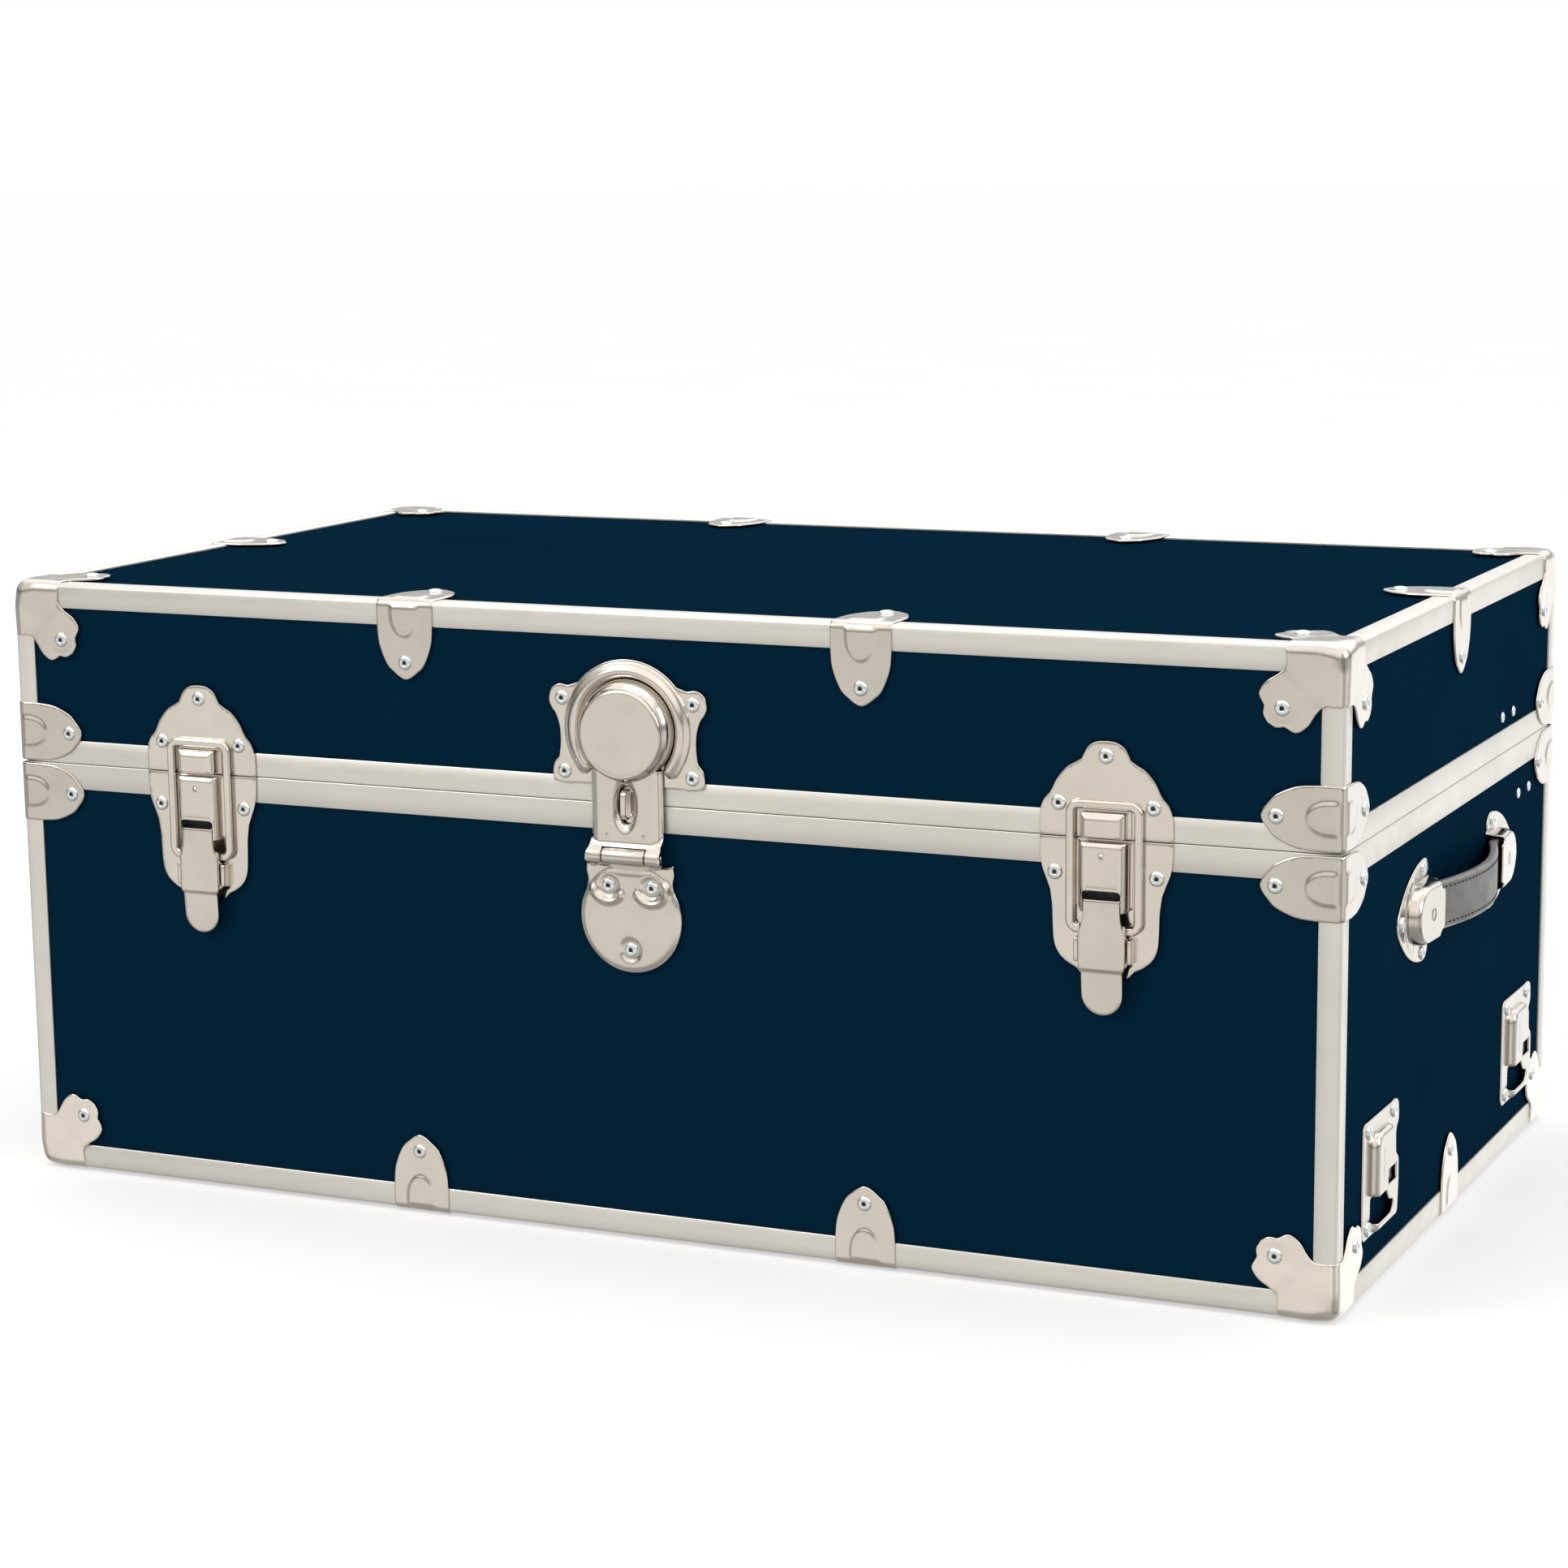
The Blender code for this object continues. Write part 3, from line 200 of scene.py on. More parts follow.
def is_inside(points, ring):
    ring = np.array(ring)
    crossed = np.zeros(len(points), bool)
    for a, b in zip(ring, np.roll(ring, -1, axis=0)):
        if a[1] == b[1]:
            continue
        spans = (a[1] > points[:, 1]) != (b[1] > points[:, 1])
        reach = a[0] + (points[:, 1] - a[1]) * (b[0] - a[0]) / (b[1] - a[1])
        crossed ^= spans & (points[:, 0] < reach)
    return crossed


def dense(ring, step):
    """The ring with its long edges divided."""
    points = []
    for a, b in zip(ring, ring[1:] + ring[:1]):
        count = max(1, round(hypot(b[0] - a[0], b[1] - a[1]) / step))
        if hypot(b[0] - a[0], b[1] - a[1]) < 1e-7:
            continue
        points += [
            (a[0] + (b[0] - a[0]) * n / count, a[1] + (b[1] - a[1]) * n / count)
            for n in range(count)
        ]
    return points


def sheet_points(rings, step, roll, features):
    """A triangulated flat sheet: points, triangles, distance of each point to the edge."""
    loops = [dense(ring, step) for ring in rings]
    edge_points = np.array([point for loop in loops for point in loop])
    edges, first = [], 0
    for loop in loops:
        edges += [(first + n, first + (n + 1) % len(loop)) for n in range(len(loop))]
        first += len(loop)

    def edge_gap(points):
        return np.min([line_distance(points, loop, True) for loop in loops], axis=0)

    def in_sheet(points):
        keep = is_inside(points, loops[0])
        for hole in loops[1:]:
            keep &= ~is_inside(points, hole)
        return keep

    extra = []
    for loop in loops:
        line = np.array(loop)
        along = np.roll(line, -1, axis=0) - np.roll(line, 1, axis=0)
        along /= np.hypot(*along.T)[:, None]
        normal = np.stack([-along[:, 1], along[:, 0]], axis=1)
        for share in (0.3, 1.0):
            for sign in (-1, 1):
                spots = line + sign * normal * roll * share
                spots = spots[in_sheet(spots)]
                if len(spots):
                    extra.append(spots[edge_gap(spots) > roll * share * 0.9])
    low, high = edge_points.min(0), edge_points.max(0)
    rows = []
    for n, v in enumerate(np.arange(low[1] + step / 2, high[1], step * 0.87)):
        u = np.arange(low[0] + step * (0.25 + 0.5 * (n % 2)), high[0], step)
        rows.append(np.stack([u, np.full(len(u), v)], axis=1))
    grid = np.concatenate(rows)
    if len(features):
        lines = np.concatenate([np.array(line) for line in features])
        tree = KDTree(len(lines))
        for n, spot in enumerate(lines.tolist()):
            tree.insert((*spot, 0), n)
        tree.balance()
        crowd = np.array([tree.find((*spot, 0))[2] for spot in grid.tolist()])
        grid = grid[crowd > step * 0.6]
        lines = lines[in_sheet(lines)]
        extra.append(lines[edge_gap(lines) > roll + 0.15 * MM])
    grid = grid[in_sheet(grid)]
    extra.append(grid[edge_gap(grid) > roll + step * 0.35])
    points = np.concatenate([edge_points, *extra])
    flat, _, triangles, _, _, _ = delaunay_2d_cdt(
        [Vector(point) for point in points.tolist()], edges, [], 0, 1e-7
    )
    flat = np.array([tuple(point) for point in flat])
    triangles = np.array([tuple(t) for t in triangles])
    triangles = triangles[in_sheet(flat[triangles].mean(axis=1))]
    return flat, triangles, edge_gap(flat)


def relief(
    rings, height, thickness=SHEET, roll=0.6 * MM, step=1.5 * MM, back=True, floor=None,
    features=(),
):
    """A stamped sheet.  height(u, v) is its outer face; its edges roll over by roll.

    floor, if given, is the w that its edge reaches down to; back adds the inner face.
    """
    flat, triangles, gap = sheet_points(rings, step, roll, features)
    u, v = flat.T
    top = height(u, v) + 0 * u
    fall = 1 - np.clip(gap / roll, 0, 1)
    outer = top - roll * (1 - np.sqrt(1 - fall**2))
    under = top - thickness if floor is None else np.full(len(flat), floor)
    count = {}
    for a, b, c in triangles:
        for pair in ((a, b), (b, c), (c, a)):
            key = (min(pair), max(pair))
            count[key] = None if key in count else pair
    border = [pair for pair in count.values() if pair is not None]
    total = len(flat)
    verts = np.concatenate([np.stack([u, v, outer], 1), np.stack([u, v, under], 1)])
    faces = [tuple(t) for t in triangles]
    if back:
        faces += [(c + total, b + total, a + total) for a, b, c in triangles]
    faces += [(b, a, a + total, b + total) for a, b in border]
    return verts, faces


def polar_sheet(centre, radii, start, end, count, height):
    """A clean sheet between rings: height(radius, angle) in degrees; closed if it turns 360."""
    closed = abs(end - start) > 359
    angles = np.linspace(start, end, count, endpoint=not closed)
    verts, faces = [], []
    for angle in angles:
        for radius in radii:
            u, v = arc(centre, radius, angle, angle, 1)[0]
            verts.append((u, v, height(radius, angle)))
    size = len(radii)
    for n in range(count if closed else count - 1):
        m = (n + 1) % count
        for k in range(size - 1):
            faces.append((n * size + k, n * size + k + 1, m * size + k + 1, m * size + k))
    return np.array(verts), faces


# ---------------------------------------------------------------- solids as (points, faces)


def from_bmesh(shape):
    shape.verts.index_update()
    verts = np.array([tuple(vert.co) for vert in shape.verts])
    faces = [tuple(vert.index for vert in face.verts) for face in shape.faces]
    shape.free()
    return verts, faces


def soft_block(u_range, v_range, w_range, radius=0.6 * MM, segments=3):
    """A box with rounded edges."""
    shape = bmesh.new()
    bmesh.ops.create_cube(shape, size=1)
    spans = (u_range, v_range, w_range)
    sizes = [high - low for low, high in spans]
    middle = [(low + high) / 2 for low, high in spans]
    place = Matrix.Translation(middle) @ Matrix.Diagonal((*sizes, 1))
    bmesh.ops.transform(shape, matrix=place, verts=shape.verts)
    bmesh.ops.bevel(
        shape, geom=shape.edges, offset=radius, segments=segments, affect="EDGES", profile=0.5
    )
    return from_bmesh(shape)


def turned(profile, place=Matrix.Identity(4), sides=32):
    """A solid of revolution about w: profile is (radius, w), starting and ending on the axis."""
    verts, faces = [], []
    rings = []
    for radius, w in profile:
        if radius < 1e-7:
            rings.append([len(verts)])
            verts.append((0, 0, w))
            continue
        rings.append(list(range(len(verts), len(verts) + sides)))
        verts += [(radius * cos(t), radius * sin(t), w) for t in np.arange(sides) * 2 * pi / sides]
    for lower, upper in zip(rings, rings[1:]):
        for n in range(sides):
            m = (n + 1) % sides
            if len(lower) == 1 and len(upper) == 1:
                break
            if len(lower) == 1:
                faces.append((lower[0], upper[m], upper[n]))
            elif len(upper) == 1:
                faces.append((lower[n], lower[m], upper[0]))
            else:
                faces.append((lower[n], lower[m], upper[m], upper[n]))
    return placed((np.array(verts), faces), place)


def soft_rod(centre, radius, low, high, axis="u", ease_r=0.5 * MM, sides=28):
    """A rod with rounded ends along u, v or w."""
    tip = arc((radius - ease_r, high - ease_r), ease_r, 0, 90, 3)
    foot = arc((radius - ease_r, low + ease_r), ease_r, -90, 0, 3)
    profile = [(0, low), *foot, *tip, (0, high)]
    turn = {
        "u": Matrix.Rotation(pi / 2, 4, "Y"),
        "v": Matrix.Rotation(-pi / 2, 4, "X"),
        "w": Matrix.Identity(4),
    }[axis]
    return turned(profile, Matrix.Translation(centre) @ turn, sides)


def swept(path, section, closed=True, up=(0, 0, 1)):
    """Carries a closed section of (across, up) points along a path of 3-D points."""
    path = [Vector(point) for point in path]
    up = Vector(up)
    verts, faces = [], []
    size, count = len(section), len(path)
    for n, point in enumerate(path):
        after = path[(n + 1) % count] if closed else path[min(n + 1, count - 1)]
        before = path[n - 1] if closed else path[max(n - 1, 0)]
        along = (after - before).normalized()
        across = along.cross(up).normalized()
        lift = across.cross(along)
        verts += [tuple(point + a * across + b * lift) for a, b in section]
    for n in range(count if closed else count - 1):
        m = (n + 1) % count
        for k in range(size):
            j = (k + 1) % size
            faces.append((n * size + k, n * size + j, m * size + j, m * size + k))
    if not closed:
        faces.append(tuple(reversed(range(size))))
        faces.append(tuple(range((count - 1) * size, count * size)))
    return np.array(verts), faces


def placed(shape, matrix):
    verts, faces = shape
    rotation = np.array(matrix.to_3x3())
    moved = verts @ rotation.T + np.array(matrix.translation)
    if matrix.to_3x3().determinant() < 0:
        faces = [tuple(reversed(face)) for face in faces]
    return moved, faces


def merged(*shapes):
    verts, faces, first = [], [], 0
    for points, polygons in shapes:
        verts.append(points)
        faces += [tuple(int(n) + first for n in polygon) for polygon in polygons]
        first += len(points)
    return np.concatenate(verts), faces


def add_piece(name, shape, material, body, weld=0, sharp=38, second=None, pick=None):
    """Make a mesh object that rides on a body.  pick(face centre) chooses the second material."""
    verts, faces = shape
    mesh = bpy.data.meshes.new(name)
    mesh.from_pydata(verts.tolist(), [], [tuple(int(n) for n in face) for face in faces])
    work = bmesh.new()
    work.from_mesh(mesh)
    if weld:
        bmesh.ops.remove_doubles(work, verts=work.verts, dist=weld)
    bmesh.ops.recalc_face_normals(work, faces=work.faces)
    work.to_mesh(mesh)
    work.free()
    mesh.materials.append(material)
    if second is not None:
        mesh.materials.append(second)
        for polygon in mesh.polygons:
            polygon.material_index = int(pick(polygon))
    mesh.polygons.foreach_set("use_smooth", [True] * len(mesh.polygons))
    mesh.set_sharp_from_angle(angle=radians(sharp))
    piece = bpy.data.objects.new(name, mesh)
    # painted light and shade: each piece's colour carries its nickel tone, which make_nickel multiplies into the
    # plating
    tone = next((tone for start, tone in NICKEL_PAINTED_LIGHT.items() if name.startswith(start)), 1.0)
    piece.color = (tone, tone, tone, 1)
    bpy.context.scene.collection.objects.link(piece)
    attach(piece, body)
    return piece


# ---------------------------------------------------------------- materials


class Nodes:
    """Short names for building a node tree."""

    def __init__(self, name):
        self.material = bpy.data.materials.new(name)
        self.material.use_nodes = True
        self.tree = self.material.node_tree
        self.shader = self.tree.nodes["Principled BSDF"]
        where = self.tree.nodes.new("ShaderNodeTexCoord")
        self.place = where.outputs["Object"]

    def link(self, source, target):
        self.tree.links.new(source, target)
        return target

    def stretched(self, scale):
        node = self.tree.nodes.new("ShaderNodeMapping")
        node.inputs["Scale"].default_value = scale
        self.link(self.place, node.inputs["Vector"])
        return node.outputs["Vector"]

    def noise(self, scale, detail=3, roughness=0.5, stretch=None, distortion=0):
        node = self.tree.nodes.new("ShaderNodeTexNoise")
        node.inputs["Scale"].default_value = scale
        node.inputs["Detail"].default_value = detail
        node.inputs["Roughness"].default_value = roughness
        node.inputs["Distortion"].default_value = distortion
        self.link(self.stretched(stretch) if stretch else self.place, node.inputs["Vector"])
        return node.outputs["Fac"]

    def ramp(self, source, *stops):
        node = self.tree.nodes.new("ShaderNodeValToRGB")
        row = node.color_ramp.elements
        while len(row) < len(stops):
            row.new(0.5)
        for element, (spot, colour) in zip(row, stops):
            element.position = spot
            element.color = (*colour, 1) if isinstance(colour, tuple) else (colour,) * 3 + (1,)
        self.link(source, node.inputs["Fac"])
        return node.outputs["Color"]

    def mix(self, share, first, second, blend="MIX"):
        node = self.tree.nodes.new("ShaderNodeMix")
        node.data_type = "RGBA"
        node.blend_type = blend
        for socket, value in zip((node.inputs[0], node.inputs[6], node.inputs[7]), (share, first, second)):
            if isinstance(value, bpy.types.NodeSocket):
                self.link(value, socket)
            else:
                socket.default_value = (*value, 1) if isinstance(value, tuple) else value
        return node.outputs[2]

    def bump(self, strength, distance, *heights):
        normal = None
        for height in heights:
            node = self.tree.nodes.new("ShaderNodeBump")
            node.inputs["Strength"].default_value = strength
            node.inputs["Distance"].default_value = distance
            self.link(height, node.inputs["Height"])
            if normal is not None:
                self.link(normal, node.inputs["Normal"])
            normal = node.outputs["Normal"]
        self.link(normal, self.shader.inputs["Normal"])

    def finish(self, colour, roughness, metallic=0.0, **others):
        for name, value in (
            ("Base Color", colour), ("Roughness", roughness), ("Metallic", metallic), *others.items()
        ):
            socket = self.shader.inputs[name.replace("_", " ")]
            if isinstance(value, bpy.types.NodeSocket):
                self.link(value, socket)
            else:
                socket.default_value = (*value, 1) if isinstance(value, tuple) else value
        return self.material


def make_navy():
    """Smooth dark laminate: an even colour with faint mottling and a very fine orange peel."""
    nodes = Nodes("navy_laminate")
    cloud = nodes.noise(9, 4)
    colour = nodes.ramp(cloud, (0.3, (0.0009, 0.0128, 0.0290)), (0.7, (0.0012, 0.0145, 0.0325)))
    sheen = nodes.ramp(nodes.noise(35, 5, 0.6), (0.35, 0.22), (0.7, 0.30))
    nodes.bump(0.12, 0.00008, nodes.noise(1400, 2), nodes.noise(160, 2))
    return nodes.finish(colour, 0.5, 0.0, IOR=1.0, Coat_Weight=0.004, Coat_Roughness=sheen)


def make_aluminium(name, axis):
    """Drawn aluminium: fine lines along the extrusion, satin, with faint handling marks."""
    nodes = Nodes(name)
    stretch = [900, 900, 900]
    stretch["xyz".index(axis)] = 4
    lines = nodes.noise(1, 3, 0.6, stretch)
    tone = nodes.noise(14, 4)
    base = nodes.ramp(tone, (0.3, (0.715, 0.69, 0.645)), (0.7, (0.755, 0.73, 0.685)))
    shade = nodes.ramp(lines, (0.3, (0.965, 0.965, 0.965)), (0.7, (1.0, 1.0, 1.0)))
    colour = nodes.mix(1.0, base, shade, "MULTIPLY")
    sheen = nodes.ramp(nodes.noise(60, 4, 0.6), (0.35, 0.36), (0.75, 0.46))
    nodes.bump(0.12, 0.00004, lines)
    return nodes.finish(colour, sheen, 0.75)


def make_nickel():
    """Bright nickel plate on stamped steel, slightly warm, with soft wear and hairlines."""
    nodes = Nodes("nickel_plate")
    cloud = nodes.noise(45, 4)
    plate = nodes.ramp(cloud, (0.3, (0.70, 0.655, 0.60)), (0.7, (0.745, 0.70, 0.645)))
    # painted light and shade: the object colour holds each piece's tone, darker or brighter to stand in for the light
    # it catches
    own = nodes.tree.nodes.new("ShaderNodeObjectInfo")
    base = nodes.mix(1.0, plate, own.outputs["Color"], "MULTIPLY")
    sheen = nodes.ramp(nodes.noise(120, 5, 0.65), (0.3, 0.11), (0.75, 0.21))
    scratch = nodes.noise(1, 2, 0.5, (60, 60, 1500), 0.4)
    nodes.bump(0.08, 0.00005, nodes.noise(300, 3), scratch)
    return nodes.finish(base, sheen, 1.0)


def make_zinc(name="zinc_rivet", colour=(0.86, 0.91, 0.92), low=0.2):
    nodes = Nodes(name)
    base = nodes.ramp(
        nodes.noise(700, 3), (0.3, tuple(0.9 * c for c in colour)), (0.7, colour)
    )
    sheen = nodes.ramp(nodes.noise(500, 3), (0.3, low), (0.7, low + 0.12))
    nodes.bump(0.1, 0.00005, nodes.noise(900, 2))
    return nodes.finish(base, sheen, 1.0)


def make_painted_shade():
    """Painted shade: near-black for the foot of each tubular rivet's hole and the slot behind each latch lever,
    standing in for the shade in those hollows.
    """
    nodes = Nodes("painted_shade_dark")
    base = nodes.ramp(nodes.noise(400, 2), (0.3, (0.012, 0.016, 0.018)), (0.7, (0.035, 0.04, 0.045)))
    return nodes.finish(base, 0.5, 0.4)


def make_leather(name, dark, pale, grain):
    nodes = Nodes(name)
    cells = nodes.tree.nodes.new("ShaderNodeTexVoronoi")
    cells.feature = "DISTANCE_TO_EDGE"
    cells.inputs["Scale"].default_value = 1500
    nodes.link(nodes.place, cells.inputs["Vector"])
    wear = nodes.noise(55, 5, 0.65)
    base = nodes.ramp(wear, (0.3, dark), (0.72, pale))
    crease = nodes.ramp(cells.outputs["Distance"], (0.0, (0.78, 0.78, 0.78)), (0.12, (1.0, 1.0, 1.0)))
    colour = nodes.mix(1.0, base, crease, "MULTIPLY")
    sheen = nodes.ramp(wear, (0.3, 0.5), (0.7, 0.38))
    nodes.bump(grain, 0.0001, cells.outputs["Distance"], nodes.noise(420, 4))
    return nodes.finish(colour, sheen, 0.0, Specular_IOR_Level=0.45)


def make_thread():
    nodes = Nodes("thread")
    twist = nodes.noise(3000, 2)
    colour = nodes.ramp(twist, (0.3, (0.006, 0.006, 0.007)), (0.7, (0.02, 0.02, 0.022)))
    nodes.bump(0.4, 0.0001, twist)
    return nodes.finish(colour, 0.7, Specular_IOR_Level=0.1)


def make_lining():
    """Pale birch ply with a clear seal, which lines the inside."""
    nodes = Nodes("birch_lining")
    warp = nodes.noise(2.2, 4, 0.5, (1, 1, 5), 1.4)
    fine = nodes.noise(1, 5, 0.65, (12, 160, 160), 0.8)
    base = nodes.ramp(warp, (0.3, (0.50, 0.36, 0.22)), (0.7, (0.66, 0.50, 0.33)))
    shade = nodes.ramp(fine, (0.35, (0.84, 0.80, 0.76)), (0.65, (1.0, 1.0, 1.0)))
    colour = nodes.mix(1.0, base, shade, "MULTIPLY")
    sheen = nodes.ramp(fine, (0.3, 0.45), (0.7, 0.6))
    nodes.bump(0.25, 0.0002, fine)
    return nodes.finish(colour, sheen)


def make_ply_edge():
    """Sawn edge of the plywood, in thin light and dark plies."""
    nodes = Nodes("ply_edge")
    plies = nodes.noise(1, 3, 0.5, (700, 700, 700), 0.2)
    base = nodes.ramp(plies, (0.35, (0.30, 0.19, 0.10)), (0.6, (0.60, 0.45, 0.29)))
    nodes.bump(0.4, 0.0002, plies)
    return nodes.finish(base, 0.75)


NAVY = make_navy()
ALUMINIUM = {axis: make_aluminium(f"aluminium_{axis}", axis) for axis in "xyz"}
NICKEL = make_nickel()
ZINC = make_zinc()
STEEL = make_zinc("zinc_steel", (0.60, 0.61, 0.62), 0.26)
PAINTED_SHADE = make_painted_shade()
LEATHER = make_leather("leather_face", (0.115, 0.113, 0.112), (0.165, 0.160, 0.157), 0.5)
LEATHER_EDGE = make_leather("leather_edge", (0.20, 0.193, 0.186), (0.30, 0.29, 0.275), 0.25)
THREAD = make_thread()
LINING = make_lining()
PLY_EDGE = make_ply_edge()


# ---------------------------------------------------------------- rivets

rivets = {"lid": [], "base": []}


def rivet(body, frame_matrix, u, v, w, radius=RIVET_R, high=1.5 * MM):
    """Tubular rivet: a domed, rolled rim round a hole whose foot is painted dark as shade."""
    hole = radius * 0.28
    lip = radius * 0.46
    profile = [
        (radius * 0.98, -0.3 * MM),
        (radius, 0.15 * high),
        (radius * 0.93, 0.55 * high),
        (radius * 0.78, 0.86 * high),
        (lip * 1.18, high),
        (lip * 0.98, high * 0.97),
        (hole * 1.08, 0.78 * high),
        (hole, 0.5 * high),
        (hole * 0.95, 0.1 * high),
        (0, 0.1 * high),
    ]
    place = frame_matrix @ Matrix.Translation((u, v, w))
    rivets[body].append(turned(list(reversed(profile)), place, 24))


def finish_rivets():
    """One piece of rivets for each body; the foot of each hole is painted near-black as shade."""
    for body, heads in rivets.items():
        shape = merged(*heads)

        # painted shade: the triangles at the foot of each hole take the near-black shade material
        def is_shaded_hole(polygon):
            return len(polygon.vertices) == 3

        add_piece(f"rivets_{body}", shape, ZINC, body, 0, 50, PAINTED_SHADE, is_shaded_hole)


# ---------------------------------------------------------------- panels and trims


def board(name, low, high, faces_out, body):
    """One plywood board: navy laminate on the side faces_out, birch inside, plies at its edges."""
    radius = 0.35 * MM
    shape = soft_block(*zip(low, high), radius=radius, segments=1)
    outward = Vector(faces_out)
    piece = add_piece(name, shape, NAVY, body)
    piece.data.materials.append(LINING)
    piece.data.materials.append(PLY_EDGE)
    for polygon in piece.data.polygons:
        facing = polygon.normal.dot(outward)
        polygon.material_index = 0 if facing > 0.3 else 1 if facing < -0.3 else 2
    return piece


def make_panels(body, node):
    """Five boards, butted at the corners, with a hair of a seam that shows inside."""
    low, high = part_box(node)
    seam = 0.15 * MM
    hidden = 3 * MM             # the flat board stops short, under the trims
    is_base = body == "base"
    flat_z = (low.z, low.z + PLY) if is_base else (high.z - PLY, high.z)
    wall_z = (low.z + PLY + seam, high.z) if is_base else (low.z, high.z - PLY - seam)
    flat = board(
        f"{body}_panel_{'bottom' if is_base else 'top'}",
        (low.x + hidden, low.y + hidden, flat_z[0]), (high.x - hidden, high.y - hidden, flat_z[1]),
        (0, 0, -1 if is_base else 1), body,
    )
    for where, sign in WHERES:
        span = (low.y, low.y + PLY) if sign < 0 else (high.y - PLY, high.y)
        board(
            f"{body}_panel_{where}",
            (low.x, span[0], wall_z[0]), (high.x, span[1], wall_z[1]), (0, sign, 0), body,
        )
    for side, sign in SIDES:
        span = (low.x, low.x + PLY) if sign < 0 else (high.x - PLY, high.x)
        board(
            f"{body}_panel_end_{side}",
            (span[0], low.y + PLY + seam, wall_z[0]), (span[1], high.y - PLY - seam, wall_z[1]),
            (sign, 0, 0), body,
        )
    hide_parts(node)


def tucked(inset, z):
    """Inset of a bar's mitred end, which falls away so that the caps and clamps clear it."""
    rise = min(z - LOW_Z, LOW_Z + HEIGHT - z)
    fall = 1.8 * MM + 3.8 * MM * max(0, 1 - rise / (7.5 * MM)) ** 2
    return inset + fall * max(0, 1 - inset / (6 * MM))


def ring_section(section, name, body):
    """Sweep (inset, z) points round the trunk as four mitred bars, each with its own grain."""
    corners = [(1, 1), (-1, 1), (-1, -1), (1, -1)]
    size = len(section)
    bars = []
    for n, (label, axis) in enumerate((("back", "x"), ("left", "y"), ("front", "x"), ("right", "y"))):
        first, last = corners[n], corners[(n + 1) % 4]
        verts = []
        for (sx, sy), at_mitre in ((first, True), (first, False), (last, False), (last, True)):
            for inset, z in section:
                in_x = in_y = tucked(inset, z)
                if not at_mitre:
                    in_x, in_y = (TUCK, inset) if axis == "x" else (inset, TUCK)
                verts.append((sx * (WIDTH / 2 - in_x), MID_Y + sy * (DEPTH / 2 - in_y), z))
        faces = [tuple(range(size)), tuple(range(3 * size, 4 * size))]
        for start in (0, size, 2 * size):
            for k in range(size):
                m = (k + 1) % size
                faces.append((start + k, start + m, start + m + size, start + k + size))
        bars.append(add_piece(
            f"{name}_{label}", (np.array(verts, float), faces), ALUMINIUM[axis], body,
            sharp=50,
        ))
    return bars


def angle_section(level, sign):
    """Edge angle: a leg up the side and a leg on the top or bottom, with a rounded outer corner."""
    lip = 0.45 * MM
    points = [(TRIM_TOP_LEG, 0.35 * MM), (TRIM_TOP_LEG - lip, 0)]
    points += arc((EDGE_R, EDGE_R), EDGE_R, 270, 180, 6)
    points += [(0, TRIM_LEG - lip), (0.35 * MM, TRIM_LEG), (TRIM, TRIM_LEG)]
    points += arc((TRIM + 1 * MM, TRIM + 1 * MM), 1 * MM, 180, 270, 3) + [(TRIM_TOP_LEG, TRIM)]
    return [(inset, level + sign * rise) for inset, rise in points]


def closure_section(level, sign, band, lip_in):
    """Closure band: a flat face with softly rolled edges and a return over the panel's edge."""
    roll = 0.7 * MM
    points = arc((roll, -roll), roll, 90, 180, 4)
    points += [(0, -band + 0.4 * MM), (0.3 * MM, -band), (TRIM, -band), (TRIM, -TRIM), (lip_in, -TRIM)]
    if sign > 0:
        points = points[:-1] + [(lip_in + TRIM, -TRIM), (lip_in + TRIM, LIP - 0.3 * MM)]
        points += [(lip_in + TRIM - 0.3 * MM, LIP), (lip_in + 0.3 * MM, LIP), (lip_in, LIP - 0.3 * MM)]
        points += [(lip_in, 0)]
    else:
        points.append((lip_in, 0))
    return [(inset, level + sign * rise) for inset, rise in points]


def corner_bar(name, sx, sy, low, high, body):
    """Upright corner angle with a rounded outer corner."""
    lip = 0.45 * MM
    leg = TRIM_CORNER_LEG
    half = [(leg, TRIM), (leg, 0.35 * MM), (leg - lip, 0)]
    outline = half + arc((EDGE_R, EDGE_R), EDGE_R, 270, 180, 6)
    outline += [(0, leg - lip), (0.35 * MM, leg), (TRIM, leg)]
    outline += arc((TRIM + 1 * MM, TRIM + 1 * MM), 1 * MM, 180, 270, 3)
    size = len(outline)
    verts = [
        (sx * (WIDTH / 2 - p), MID_Y + sy * (DEPTH / 2 - q), z) for z in (low, high) for p, q in outline
    ]
    faces = [(k, (k + 1) % size, (k + 1) % size + size, k + size) for k in range(size)]
    faces += [tuple(range(size)), tuple(range(size, 2 * size))]
    return add_piece(
        name, (np.array(verts, float), faces), ALUMINIUM["z"], body, sharp=50
    )


def make_trims():
    base_parting = LOW_Z + BASE_HIGH
    lid_parting = LOW_Z + LID_LOW
    lip_in = PANEL + PLY + GAP
    low_ring = ring_section(angle_section(LOW_Z, 1), "trim_bottom", "base")
    ring_section(closure_section(base_parting, 1, BASE_BAND, lip_in), "closure_base", "base")
    top_ring = ring_section(angle_section(LOW_Z + HEIGHT, -1), "trim_top", "lid")
    ring_section(closure_section(lid_parting, -1, LID_BAND, PANEL + PLY), "closure_lid", "lid")
    joint = 0.15 * MM
    for where, sy in WHERES:
        for side, sx in SIDES:
            corner_bar(
                f"corner_trim_base_{where}_{side}", sx, sy,
                LOW_Z + TRIM_LEG + joint, base_parting - BASE_BAND - joint, "base",
            )
            corner_bar(
                f"corner_trim_lid_{where}_{side}", sx, sy,
                lid_parting + LID_BAND + joint, LOW_Z + HEIGHT - TRIM_LEG - joint, "lid",
            )
    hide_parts("base_trim_frame")
    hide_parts("lid_trim_frame")


# ---------------------------------------------------------------- corner caps and clamps


